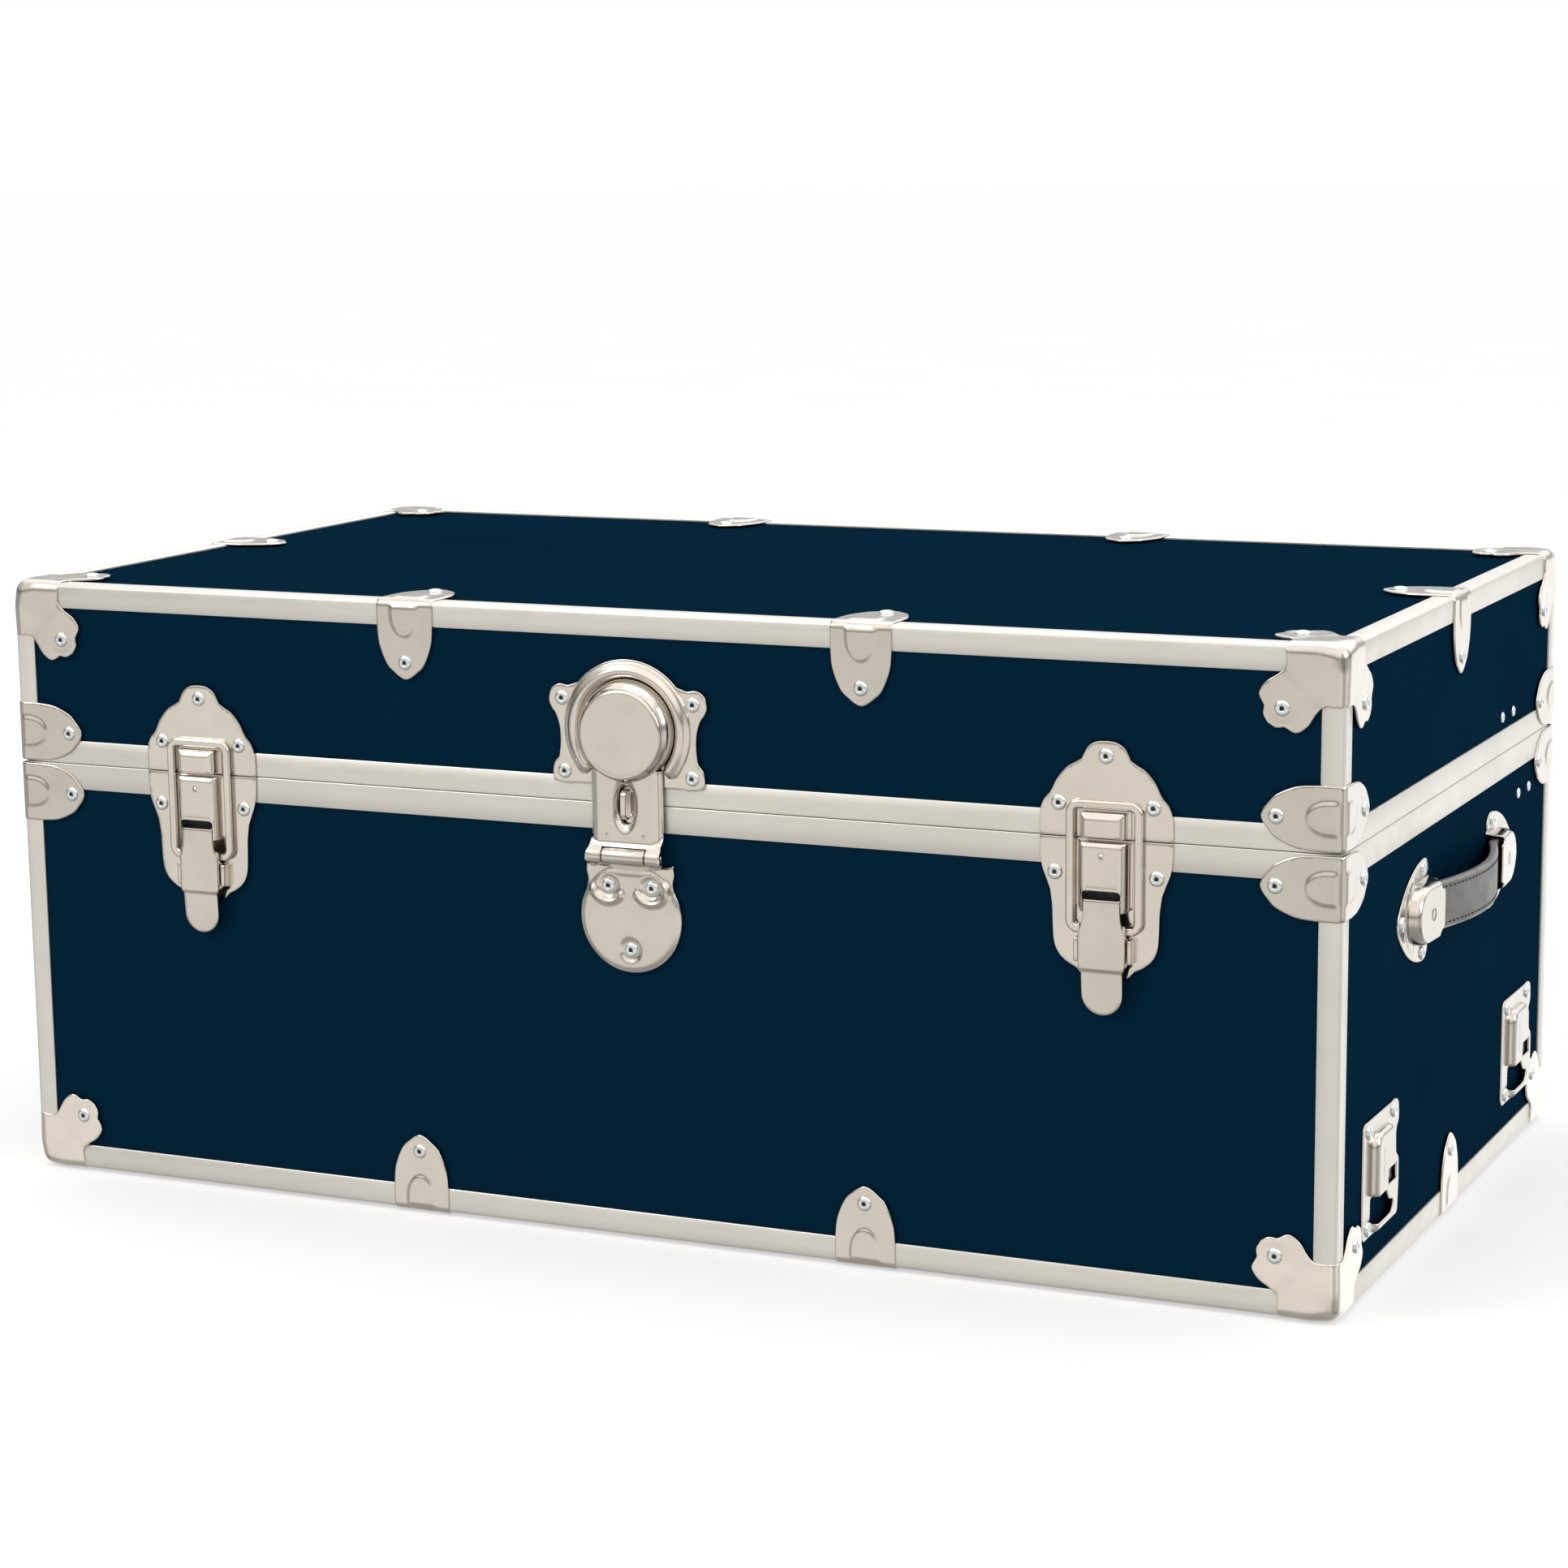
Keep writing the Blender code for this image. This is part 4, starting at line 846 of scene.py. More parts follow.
def wrapped(points, corner, inward, bends, radius):
    """Bend sheet points round a corner of the trunk.

    Each point is (a, b, c, w): three distances inward from the corner, one of them 0, and how far
    it stands out.  bends says which axes are rounded; on all three, the corner is a softer ball.
    """
    spots, w = points[:, :3], points[:, 3:]
    near = spots.copy()
    bend = np.full(len(spots), radius)
    if all(bends):
        bend += BALL_EXTRA * (1 - ease((spots.max(axis=1) - 4 * MM) / (12 * MM)))
    for n, bent_axis in enumerate(bends):
        if bent_axis:
            near[:, n] = np.maximum(spots[:, n], bend)
    away = spots - near
    length = np.linalg.norm(away, axis=1, keepdims=True)
    bent = near + away / np.maximum(length, 1e-9) * (bend[:, None] + w)
    return np.array(corner) + bent @ np.array([tuple(axis) for axis in inward])


def flap(shape, first, second):
    """Lay a relief of (p, q, w) on the corner's coordinates first and second."""
    verts, faces = shape
    points = np.zeros((len(verts), 4))
    points[:, first] = verts[:, 0]
    points[:, second] = verts[:, 1]
    points[:, 3] = verts[:, 2]
    return points, faces


def cap_outline():
    """Three-lobed leaf on a square foot."""
    side = [(31.8, 0), (31.2, 9.5)]
    lobe = flowing([(31.2, 9.5), (32.2, 12.4), (36.2, 15.8), (42.0, 19.6), (45.6, 25.6), (42.8, 31.8)], 4)
    tip = flowing([(42.8, 31.8), (43.2, 36.4), (40.8, 40.8)], 3)
    half = scaled(side + lobe[1:] + tip[1:])
    return [(0, 0)] + half + [(q, p) for p, q in reversed(half[:-1])]


def cap_height(p, q):
    """Faintly crowned foot, a pressed step beside the trims, and a flat leaf."""
    foot = np.maximum(p, q)
    crown = 0.35 * MM * bump(foot - 15 * MM, 15 * MM)
    leaf = 0.25 * MM * ease((np.hypot(p - 33 * MM, q - 33 * MM) - 5 * MM) / (4 * MM))
    return OUT + crown * (foot < 30 * MM) + leaf * ease((p + q - 42 * MM) / (8 * MM)) - 0.2 * MM


def make_corner_cap(sx, sy, top):
    corner = Vector((sx * WIDTH / 2, MID_Y + sy * DEPTH / 2, LOW_Z + (HEIGHT if top else 0)))
    inward = [Vector((-sx, 0, 0)), Vector((0, -sy, 0)), Vector((0, 0, -1 if top else 1))]
    body = "lid" if top else "base"
    sheet = relief([cap_outline()], cap_height, roll=0.55 * MM, step=1.7 * MM, back=False, floor=GAP / 2)
    verts, faces = sheet
    # the folded edges p = 0 and q = 0 don't roll over, and have no rim
    on_fold = verts[:, :2].min(axis=1) < 1e-6
    outer = verts[: len(verts) // 2]
    by_fold = (outer[:, :2].min(axis=1) < 0.7 * MM) & (outer[:, :2].max(axis=1) < 31 * MM)
    outer[by_fold, 2] = cap_height(*outer[by_fold, :2].T)
    faces = [face for face in faces if len(face) == 3 or not all(on_fold[n] for n in face)]
    parts = []
    for n in range(3):
        first, second = (n + 1) % 3, (n + 2) % 3
        points, polygons = flap((verts, faces), first, second)
        parts.append((wrapped(points, corner, inward, (True, True, True), CAP_R), polygons))
        outward = -inward[n]
        if outward.z < 0:
            continue
        across, up = inward[first], inward[second]
        if across.cross(up).dot(outward) < 0:
            across, up = up, across
        place = face_frame(across, up, outward, corner)
        rivet(body, place, 33 * MM, 33 * MM, OUT - 0.3 * MM)
    side = "right" if sx > 0 else "left"
    where = "back" if sy > 0 else "front"
    name = f"corner_cap_{body}_{where}_{side}"
    piece = add_piece(f"cap_{body}_{where}_{side}", merged(*parts), NICKEL, body, 0.02 * MM, 60)
    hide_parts(name)


def ogive(half, length, start=14 * MM):
    """A clamp's flap: straight sides and an arch that comes to a round point."""
    right = [(half, start), (half * 0.935, start + 0.36 * (length - start)), (half * 0.68, length - 8.7 * MM)]
    right += [(half * 0.42, length - 4.1 * MM), (half * 0.2, length - 1.2 * MM)]
    left = [(-s, t) for s, t in reversed(right)]
    return [(half, 0)] + flowing(right + [(0, length)] + left, 4) + [(-half, 0)]


def clamp_height(reach):
    """Flat, with a round-ended tongue pressed up out of it from the fold."""
    inner = 8.4 * MM
    arch = [(inner, -9 * MM), (inner, reach - inner * 1.5)]
    arch += arc((0, reach - inner * 1.5), (inner, inner * 1.5), 0, 180, 18) + [(-inner, -9 * MM)]
    loop = arch + [(inner, -9 * MM)]

    def height(s, t):
        spots = np.stack([s, t], 1)
        near = line_distance(spots, arch)
        inside = is_inside(spots, loop)
        signed = np.where(inside, near, -near)
        tongue = 0.8 * MM * ease((signed + 1.6 * MM) / (3.2 * MM))
        lip = 0.16 * MM * bump(signed - 1.1 * MM, 1.7 * MM)
        before_fold = ease((t - 1.7 * MM) / (2.6 * MM))
        return OUT - 0.25 * MM + (tongue + lip) * before_fold

    return height


def make_clamp(name, node, body, edge, along, first, second, half, length, spot, reach):
    """Sheet folded over an edge of the trunk, with a rivet near each point."""
    height = clamp_height(reach)
    verts, faces = relief(
        [ogive(half, length)], height, roll=0.8 * MM, step=1.4 * MM, back=False, floor=GAP / 2,
    )
    count = len(verts) // 2
    flat = verts[:count]
    at_fold = (flat[:, 1] < 0.8 * MM) & (np.abs(flat[:, 0]) < half - 0.8 * MM)
    flat[at_fold, 2] = height(flat[at_fold, 0], flat[at_fold, 1])
    on_edge = verts[:, 1] < 1e-6
    faces = [face for face in faces if len(face) == 3 or not all(on_edge[n] for n in face)]
    parts = []
    for n, (inward, other) in enumerate(((first, second), (second, first))):
        outward = -other
        points, polygons = flap((verts, faces), 0, 1 + n)
        bent = wrapped(points, edge, (along, first, second), (False, True, True), FOLD_R)
        parts.append((bent, polygons))
        if outward.z < 0:
            continue
        across = along if along.cross(inward).dot(outward) > 0 else -along
        rivet(body, face_frame(across, inward, outward, edge), 0, spot, OUT - 0.35 * MM)
    piece = add_piece(name, merged(*parts), NICKEL, body, 0.02 * MM, 60)
    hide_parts(node)


def make_all_clamps():
    """Corner caps, edge clamps and mid clamps, each centred on its CAD node."""
    for top in (False, True):
        for _, sy in WHERES:
            for _, sx in SIDES:
                make_corner_cap(sx, sy, top)
    upright = Vector((0, 0, 1))
    edge_half, edge_long, edge_spot, edge_reach = 18 * MM, 45 * MM, 35.2 * MM, 20.5 * MM
    mid_half, mid_long, mid_spot, mid_reach = 17.3 * MM, 44 * MM, 35.5 * MM, 19.5 * MM
    for body, level, down in (("base", LOW_Z, 1), ("lid", LOW_Z + HEIGHT, -1)):
        for where, sy in WHERES:
            for side, sx in SIDES:
                node = f"edge_clamp_{body}_{where}_{side}"
                low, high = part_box(node)
                edge = Vector(((low.x + high.x) / 2, MID_Y + sy * DEPTH / 2, level))
                make_clamp(
                    f"clamp_{body}_{where}_{side}", node, body, edge, Vector((1, 0, 0)),
                    upright * down, Vector((0, -sy, 0)), edge_half, edge_long, edge_spot, edge_reach,
                )
                node = f"mid_clamp_{body}_{where}_{side}"
                low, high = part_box(node)
                edge = Vector((sx * WIDTH / 2, MID_Y + sy * DEPTH / 2, (low.z + high.z) / 2))
                make_clamp(
                    f"mid_{body}_{where}_{side}", node, body, edge, upright,
                    Vector((-sx, 0, 0)), Vector((0, -sy, 0)), mid_half, mid_long, mid_spot, mid_reach,
                )
        for side, sx in SIDES:
            edge = Vector((sx * WIDTH / 2, MID_Y, level))
            make_clamp(
                f"clamp_{body}_end_{side}", f"edge_clamp_{body}_end_{side}", body, edge,
                Vector((0, 1, 0)), upright * down, Vector((-sx, 0, 0)),
                edge_half, edge_long, edge_spot, edge_reach,
            )


# ---------------------------------------------------------------- draw latches


def ring_bar(half_u, low, high, radius, wide, thick, w_middle, feature=0.32):
    """A closed loop of flattened round bar in the plane of a face."""
    middle = rounded_rectangle(half_u - wide / 2, low + wide / 2, high - wide / 2, radius, 8)
    path = [(u, v, w_middle) for u, v in dense(middle, 4 * MM)]
    section = []
    for a, b in arc((0, 0), (wide / 2, thick / 2), 0, 345, 23):
        groove = feature * MM * max(0, 1 - (a / (wide * 0.22)) ** 2) if b > 0 else 0
        section.append((a, b - groove))
    return swept(path, section)


def make_latch_lid_plate(place, side):
    low = LID_LOW
    half = [(36.9 * MM, low)] + flowing(
        scaled([(37.0, 249.5), (37.0, 257.5), (36.5, 263.0), (34.6, 267.9), (31.7, 271.2), (30.0, 274.0)]), 4
    )
    half += flowing(scaled([(30.0, 274.0), (27.0, 279.8), (22.0, 285.4), (17.0, 288.4), (13.8, 290.4)]), 4)[1:]
    half += flowing(scaled([(13.8, 290.4), (12.3, 293.6), (10.0, 297.2), (5.4, 299.8), (0, 300.4)]), 4)[1:]
    plate = relief([both_sides(half)], lambda u, v: OUT + 0 * u, step=2.2 * MM, back=False, floor=GAP)

    def keeper_height(u, v):
        """A four-sided roof with a flat middle."""
        slope = np.minimum((12.25 * MM - np.abs(u)) / (3.0 * MM), (263.2 * MM - v) / (3.2 * MM))
        slope = np.minimum(slope, (v - 249.3 * MM) / (0.9 * MM))
        return 6.6 * MM + 2.4 * MM * np.clip(slope, 0, 1) ** 0.8

    box = rounded_rectangle(12.25 * MM, 249.3 * MM, 263.2 * MM, 1.0 * MM, 3)
    keeper = relief([box], keeper_height, roll=0.5 * MM, step=1.1 * MM, back=False, floor=OUT - 0.2 * MM)
    foot = soft_block(
        (-14.5 * MM, 14.5 * MM), (249.2 * MM, 266.0 * MM), (OUT - 0.3 * MM, OUT + 0.8 * MM), 0.5 * MM
    )
    shape = placed(merged(plate, keeper, foot), place)
    piece = add_piece(f"latch_keeper_{side}", shape, NICKEL, "lid")
    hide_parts(f"latch_lid_plate_{side}")
    for u, v in ((0, 292.3), (-26.2, 266.3), (26.2, 266.3)):
        rivet("lid", place, u * MM, v * MM, OUT)


def make_latch_base_plate(place, side):
    high = BASE_HIGH
    half = flowing(scaled([(0, 172.4), (7.0, 173.0), (12.4, 174.8), (16.2, 178.4)]), 4)
    half += flowing(scaled([(16.2, 178.4), (21.2, 181.0), (26.0, 185.2), (28.8, 191.4), (29.6, 200.0),
                            (30.0, 211.0), (31.2, 219.8)]), 4)[1:]
    half += flowing(scaled([(31.2, 219.8), (33.4, 225.6), (35.8, 232.0), (36.8, 239.0), (37.0, 246.0)]), 4)[1:]
    half.append((36.9 * MM, high))
    plate = relief([both_sides(half)], lambda u, v: OUT + 0 * u, step=2.2 * MM, back=False, floor=GAP)

    wide, foot, top = 12.25 * MM, 15.2 * MM, 247.4 * MM
    mouth = [(10.7, 210.5), (10.7, 217.5)] + arc((8.9, 219.6), (1.8, 2.2), -30, 90, 5) + [(7.6, 221.9)]
    lower = scaled([(15.2, 212.0), (13.0, 210.5)] + mouth)
    outline = [(foot, top), (-foot, top)] + [(-u, v) for u, v in lower] + lower[::-1]
    window_line = scaled([(-10.7, 212), (-10.7, 218.4), (-8.2, 222.2), (8.2, 222.2), (10.7, 218.4), (10.7, 212)])

    def housing_height(u, v):
        """A flat-topped channel whose side walls flare out to the plate."""
        side_fall = ease((wide - np.abs(u)) / (2.2 * MM))
        top_fall = ease((top - v) / (2.2 * MM))
        edge = 1.3 * MM * (1 - np.minimum(side_fall, top_fall))
        rim = 0.33 * MM * bump(line_distance(np.stack([u, v], 1), window_line), 2.6 * MM) * (v > 220 * MM)
        stud = 0.8 * MM * bump(np.hypot(u, v - 240.3 * MM), 1.9 * MM)
        share = np.clip((np.abs(u) - wide) / (foot - wide), 0, 1)
        wall = (1 - share) ** 3
        return OUT + 0.5 * MM + (8.2 * MM - OUT - edge) * wall + rim + stud

    stud_rings = [arc((0, 240.3 * MM), r * MM, 0, 330, 11) for r in (0.01, 0.5, 1.0, 1.5, 2.0)]
    for u in (10.0, 10.8, 11.5, 12.0, 12.35, 12.7, 13.1, 13.6, 14.2):
        for sign in (-1, 1):
            stud_rings.append([(sign * u * MM, v * MM) for v in np.arange(211.5, 246.6, 1.4)])
    housing = relief([outline], housing_height, roll=0.35 * MM, step=1.2 * MM, back=False,
                     floor=OUT - 0.2 * MM, features=stud_rings)
    # painted shade: a near-black sheet behind the lever's slot in the housing, standing in for the shade in that hollow
    shade = relief(
        [scaled([(-10.6, 211), (10.6, 211), (10.6, 222.5), (-10.6, 222.5)])],
        lambda u, v: 1.9 * MM + 0 * u, step=3 * MM, back=False, floor=OUT,
    )
    guides = [
        soft_block(sorted((sign * 13.5 * MM, sign * 16.2 * MM)), (183.0 * MM, 196.0 * MM), (OUT - 0.2 * MM, 6.6 * MM), 0.9 * MM)
        for sign in (-1, 1)
    ]
    shape = placed(merged(plate, housing, *guides), place)
    piece = add_piece(f"latch_housing_{side}", shape, NICKEL, "base")
    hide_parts(f"latch_base_plate_{side}")
    # painted shade: the near-black sheet goes on as a piece of its own
    add_piece(f"latch_hollow_{side}", placed(shade, place), PAINTED_SHADE, "base")
    for u in (-28.2, 28.2):
        rivet("base", place, u * MM, 229.2 * MM, OUT)


def make_latch_lever(place, side):
    """Thumb lever: a channel with a crease and a rounded tab, and cheeks that hold the bail."""
    half = flowing(scaled([(10.3, 217.3), (10.4, 210.0), (10.9, 205.6), (12.7, 199.6), (13.0, 195.0), (13.0, 181.4)]), 4)
    half += scaled([(12.6, 179.4), (11.6, 178.2)])
    half += scaled([(11.5, 167.0)] + arc((0, 166.3), 11.5, 0, -90, 9)[1:])
    outline = both_sides(half)
    crease = 179.2 * MM

    def height(u, v):
        tab = ease((crease + 0.9 * MM - v) / (1.8 * MM))
        slope = (crease - v) / (24.4 * MM)
        pillow = 0.35 * MM * (1 - (u / (13 * MM)) ** 2)
        body = 8.6 * MM + pillow
        return body * (1 - tab) + (7.6 * MM - 1.5 * MM * slope + pillow) * tab

    seam = [(u * MM, v * MM) for v in (180.2, 179.6, 179.0, 178.4) for u in np.arange(-12, 12.1, 1.2)]
    plate = relief([outline], height, roll=0.8 * MM, step=1.4 * MM, features=[seam])
    parts = [plate]
    for sign in (-1, 1):
        cheek = [(182.4, 2.0), (181.0, 8.3), (204.0, 8.3), (203.4, 6.4), (198.6, 5.6), (196.6, 4.2), (196.2, 2.0)]
        inner, outer = 12.0 * MM, 13.0 * MM
        part = relief([scaled(cheek)], lambda a, b: 0 * a + outer, thickness=outer - inner, roll=0.3 * MM, step=2.5 * MM)
        turn = Matrix(((0, 0, sign, 0), (1, 0, 0, 0), (0, 1, 0, 0), (0, 0, 0, 1)))
        parts.append(placed(part, turn))
        ear = soft_block(
            sorted((sign * 9.4 * MM, sign * 10.3 * MM)), (211.8 * MM, 216.9 * MM), (3.2 * MM, 8.3 * MM), 0.3 * MM, 2
        )
        parts.append(ear)
    parts.append(soft_rod((0, 214.5 * MM, 6 * MM), 1.7 * MM, -10.6 * MM, 10.6 * MM, "u", 0.3 * MM, 16))
    piece = add_piece(
        f"latch_thumb_{side}", placed(merged(*parts), place), NICKEL, f"latch_lever_{side}"
    )
    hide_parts(f"latch_lever_{side}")


def make_latches():
    for side, _ in SIDES:
        pivot = JOINTS[f"latch_lever_{side}_pivot"]["pos_m"]
        place = FRONT @ Matrix.Translation((pivot[0], 0, 0))
        make_latch_lid_plate(place, side)
        make_latch_base_plate(place, side)
        make_latch_lever(place, side)
        bail = ring_bar(21.4 * MM, 197.8 * MM, 269.2 * MM, 4.6 * MM, 4.9 * MM, 3.5 * MM, 3.7 * MM)
        piece = add_piece(
            f"latch_ring_{side}", placed(bail, place), NICKEL, f"latch_bail_{side}"
        )
        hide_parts(f"latch_bail_{side}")


# ---------------------------------------------------------------- hasp lock

LOCK_V = 289.8 * MM
STAPLE_V = 249.0 * MM
HASP_V = JOINTS["hasp_hinge"]["pos_m"][2] - LOW_Z
HASP_W = FRONT_Y - JOINTS["hasp_hinge"]["pos_m"][1]


def make_lock_lid_plate():
    """Eared plate on the lid with a broad horseshoe bead round the lock cap."""
    half = scaled([(21.5, 258.8), (33.0, 258.8)])
    half += flowing(scaled([(33.0, 258.8), (36.6, 258.3), (41.0, 258.6), (46.2, 259.4)]), 3)[1:]
    half += flowing(scaled([(46.2, 259.4), (46.9, 264.0), (46.0, 269.4), (42.9, 273.2)]), 3)[1:]
    half += flowing(scaled([(42.9, 273.2), (41.9, 281.0), (42.3, 290.0), (44.6, 297.0), (46.8, 299.8)]), 4)[1:]
    half += flowing(scaled([(46.8, 299.8), (48.6, 304.4), (47.2, 310.8), (42.4, 313.9), (36.8, 313.3)]), 4)[1:]
    half += flowing(scaled([(36.8, 313.3), (33.6, 314.2), (30.4, 315.3)]), 4)[1:]
    half += arc((0, LOCK_V), 39.6 * MM, 38, 90, 16)[1:]
    ears = [(sign * u * MM, v * MM) for sign in (-1, 1) for u, v in ((40.3, 306.1), (39.3, 265.1))]
    plate = relief([both_sides(half)], lambda u, v: OUT + 0 * u, step=2.0 * MM, back=False, floor=GAP)
    first, last = -46, 226
    profile = ((27.9, -0.4), (28.3, 0.1), (28.9, 0.15), (29.4, 0.5), (29.9, 1.3), (30.5, 2.1), (31.2, 2.75),
               (32.0, 3.15), (32.9, 3.3), (33.8, 3.2), (34.6, 2.85), (35.4, 2.3), (36.1, 1.75), (36.8, 1.45),
               (37.5, 1.3), (38.2, 1.0), (38.7, 0.55), (38.9, -0.3))
    heights = dict(profile)

    def bead_height(radius, angle):
        """The bead sinks into the plate at its two feet, which are round."""
        along = radians(min(angle - first, last - angle)) * radius
        foot = 5.6 - sqrt(max(0, 5.6**2 - (radius - 33.4) ** 2))
        fade = min(1, max(0, (along - foot) / 3.2)) ** 0.6
        return OUT - 0.3 * MM + (heights[radius] + 0.3) * MM * fade

    radii = [radius for radius, _ in profile]
    bead = polar_sheet(
        (0, LOCK_V), radii, first, last, 135, bead_height
    )
    bead[0][:, :2] = (bead[0][:, :2] - (0, LOCK_V)) * MM + (0, LOCK_V)
    boss = soft_rod((0, LOCK_V, 0), 15 * MM, OUT, 5 * MM, "w", 0.8 * MM)
    piece = add_piece(
        "lock_escutcheon", placed(merged(plate, bead, boss), FRONT), NICKEL, "lid", 0, 60
    )
    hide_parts("lock_lid_plate")
    for u, v in ears:
        rivet("lid", FRONT, u, v, OUT - 0.1 * MM)


def make_lock_shield():
    """Shield on the base with pointed ears, three dished rivet seats and the hasp's barrel."""
    centre = (0, 184.4 * MM)
    half = scaled([(0, 213.6), (17.5, 213.6)])
    half += flowing(scaled([(17.5, 213.6), (21.0, 213.9), (26.6, 215.4)]), 3)[1:]
    half += flowing(scaled([(26.6, 215.4), (27.2, 210.0), (26.2, 205.0), (27.2, 200.2)]), 4)[1:]
    half += arc(centre, 31.4 * MM, 30, -90, 16)[1:]
    shield = half[::-1] + [(-u, v) for u, v in half if u > 0.02 * MM]
    seats = scaled([(-13.4, 202.0), (13.4, 202.0), (0, 166.2)])
    lips = []
    for (u, v), start, end in ((seats[0], 190, 330), (seats[1], 205, 375)):
        lips.append(arc((u, v - 0.6 * MM), (9.6 * MM, 8.2 * MM), start, end, 14))

    def height(u, v):
        spots = np.stack([u, v], 1)
        away = np.hypot(u - centre[0], v - centre[1])
        body = 1.3 * MM * ease((31.4 * MM - away) / (3.6 * MM)) * ease((214 * MM - v) / (7 * MM))
        for spot in seats:
            body *= ease((np.hypot(u - spot[0], v - spot[1]) - 4.6 * MM) / (3.4 * MM))
        for lip in lips:
            body += 1.5 * MM * bump(line_distance(spots, lip), 3.0 * MM)
        return OUT + body

    rings = [arc(seat, r * MM, 0, 345, 24) for seat in seats for r in (4.8, 5.9, 7.0, 8.0)]
    rings += [arc((u, v - 0.6 * MM), (r * MM, (r - 1.4) * MM), 0, 350, 36) for u, v in seats[:2] for r in (8.6, 9.6, 10.6)]
    plate = relief([shield], height, step=1.4 * MM, back=False, floor=GAP, features=rings)
    tongue = soft_block((-12.5 * MM, 12.5 * MM), (212 * MM, 258 * MM), (GAP, OUT), 0.3 * MM, 2)
    half_long = 13.0 * MM
    barrel = soft_rod((0, HASP_V, HASP_W), 5.0 * MM, -half_long, half_long, "u", 0.7 * MM, 32)
    web = soft_block((-half_long, half_long), (HASP_V - 5 * MM, HASP_V + 1 * MM), (OUT - 0.2 * MM, HASP_W), 0.8 * MM)
    pin = soft_rod((0, HASP_V, HASP_W), 2.0 * MM, -22.6 * MM, 22.6 * MM, "u", 0.7 * MM, 20)
    piece = add_piece(
        "lock_shield", placed(merged(plate, tongue, barrel, web, pin), FRONT), NICKEL, "base"
    )
    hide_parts("lock_base_plate")
    for u, v in seats:
        rivet("base", FRONT, u, v, OUT - 0.1 * MM)


def make_staple():
    """Padlock staple: a bent strip that stands out through the hasp's oval hole."""
    wide, thick = 3.0 * MM, 1.6 * MM
    half, reach = 7.6 * MM, 8.2 * MM
    path = [(-half, OUT), *arc((-half + 3 * MM, reach - 3 * MM), 3 * MM, 180, 90, 5)]
    path += [*arc((half - 3 * MM, reach - 3 * MM), 3 * MM, 90, 0, 5), (half, OUT)]
    section = [(b * thick / 2, a * wide / 2) for a, b in rounded_rectangle(1, -1, 1, 0.5, 2)]
    loop = swept([(0, STAPLE_V + v, w) for v, w in path], section, False, up=(1, 0, 0))
    piece = add_piece("staple_loop", placed(loop, FRONT), NICKEL, "base")
    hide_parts("padlock_staple")


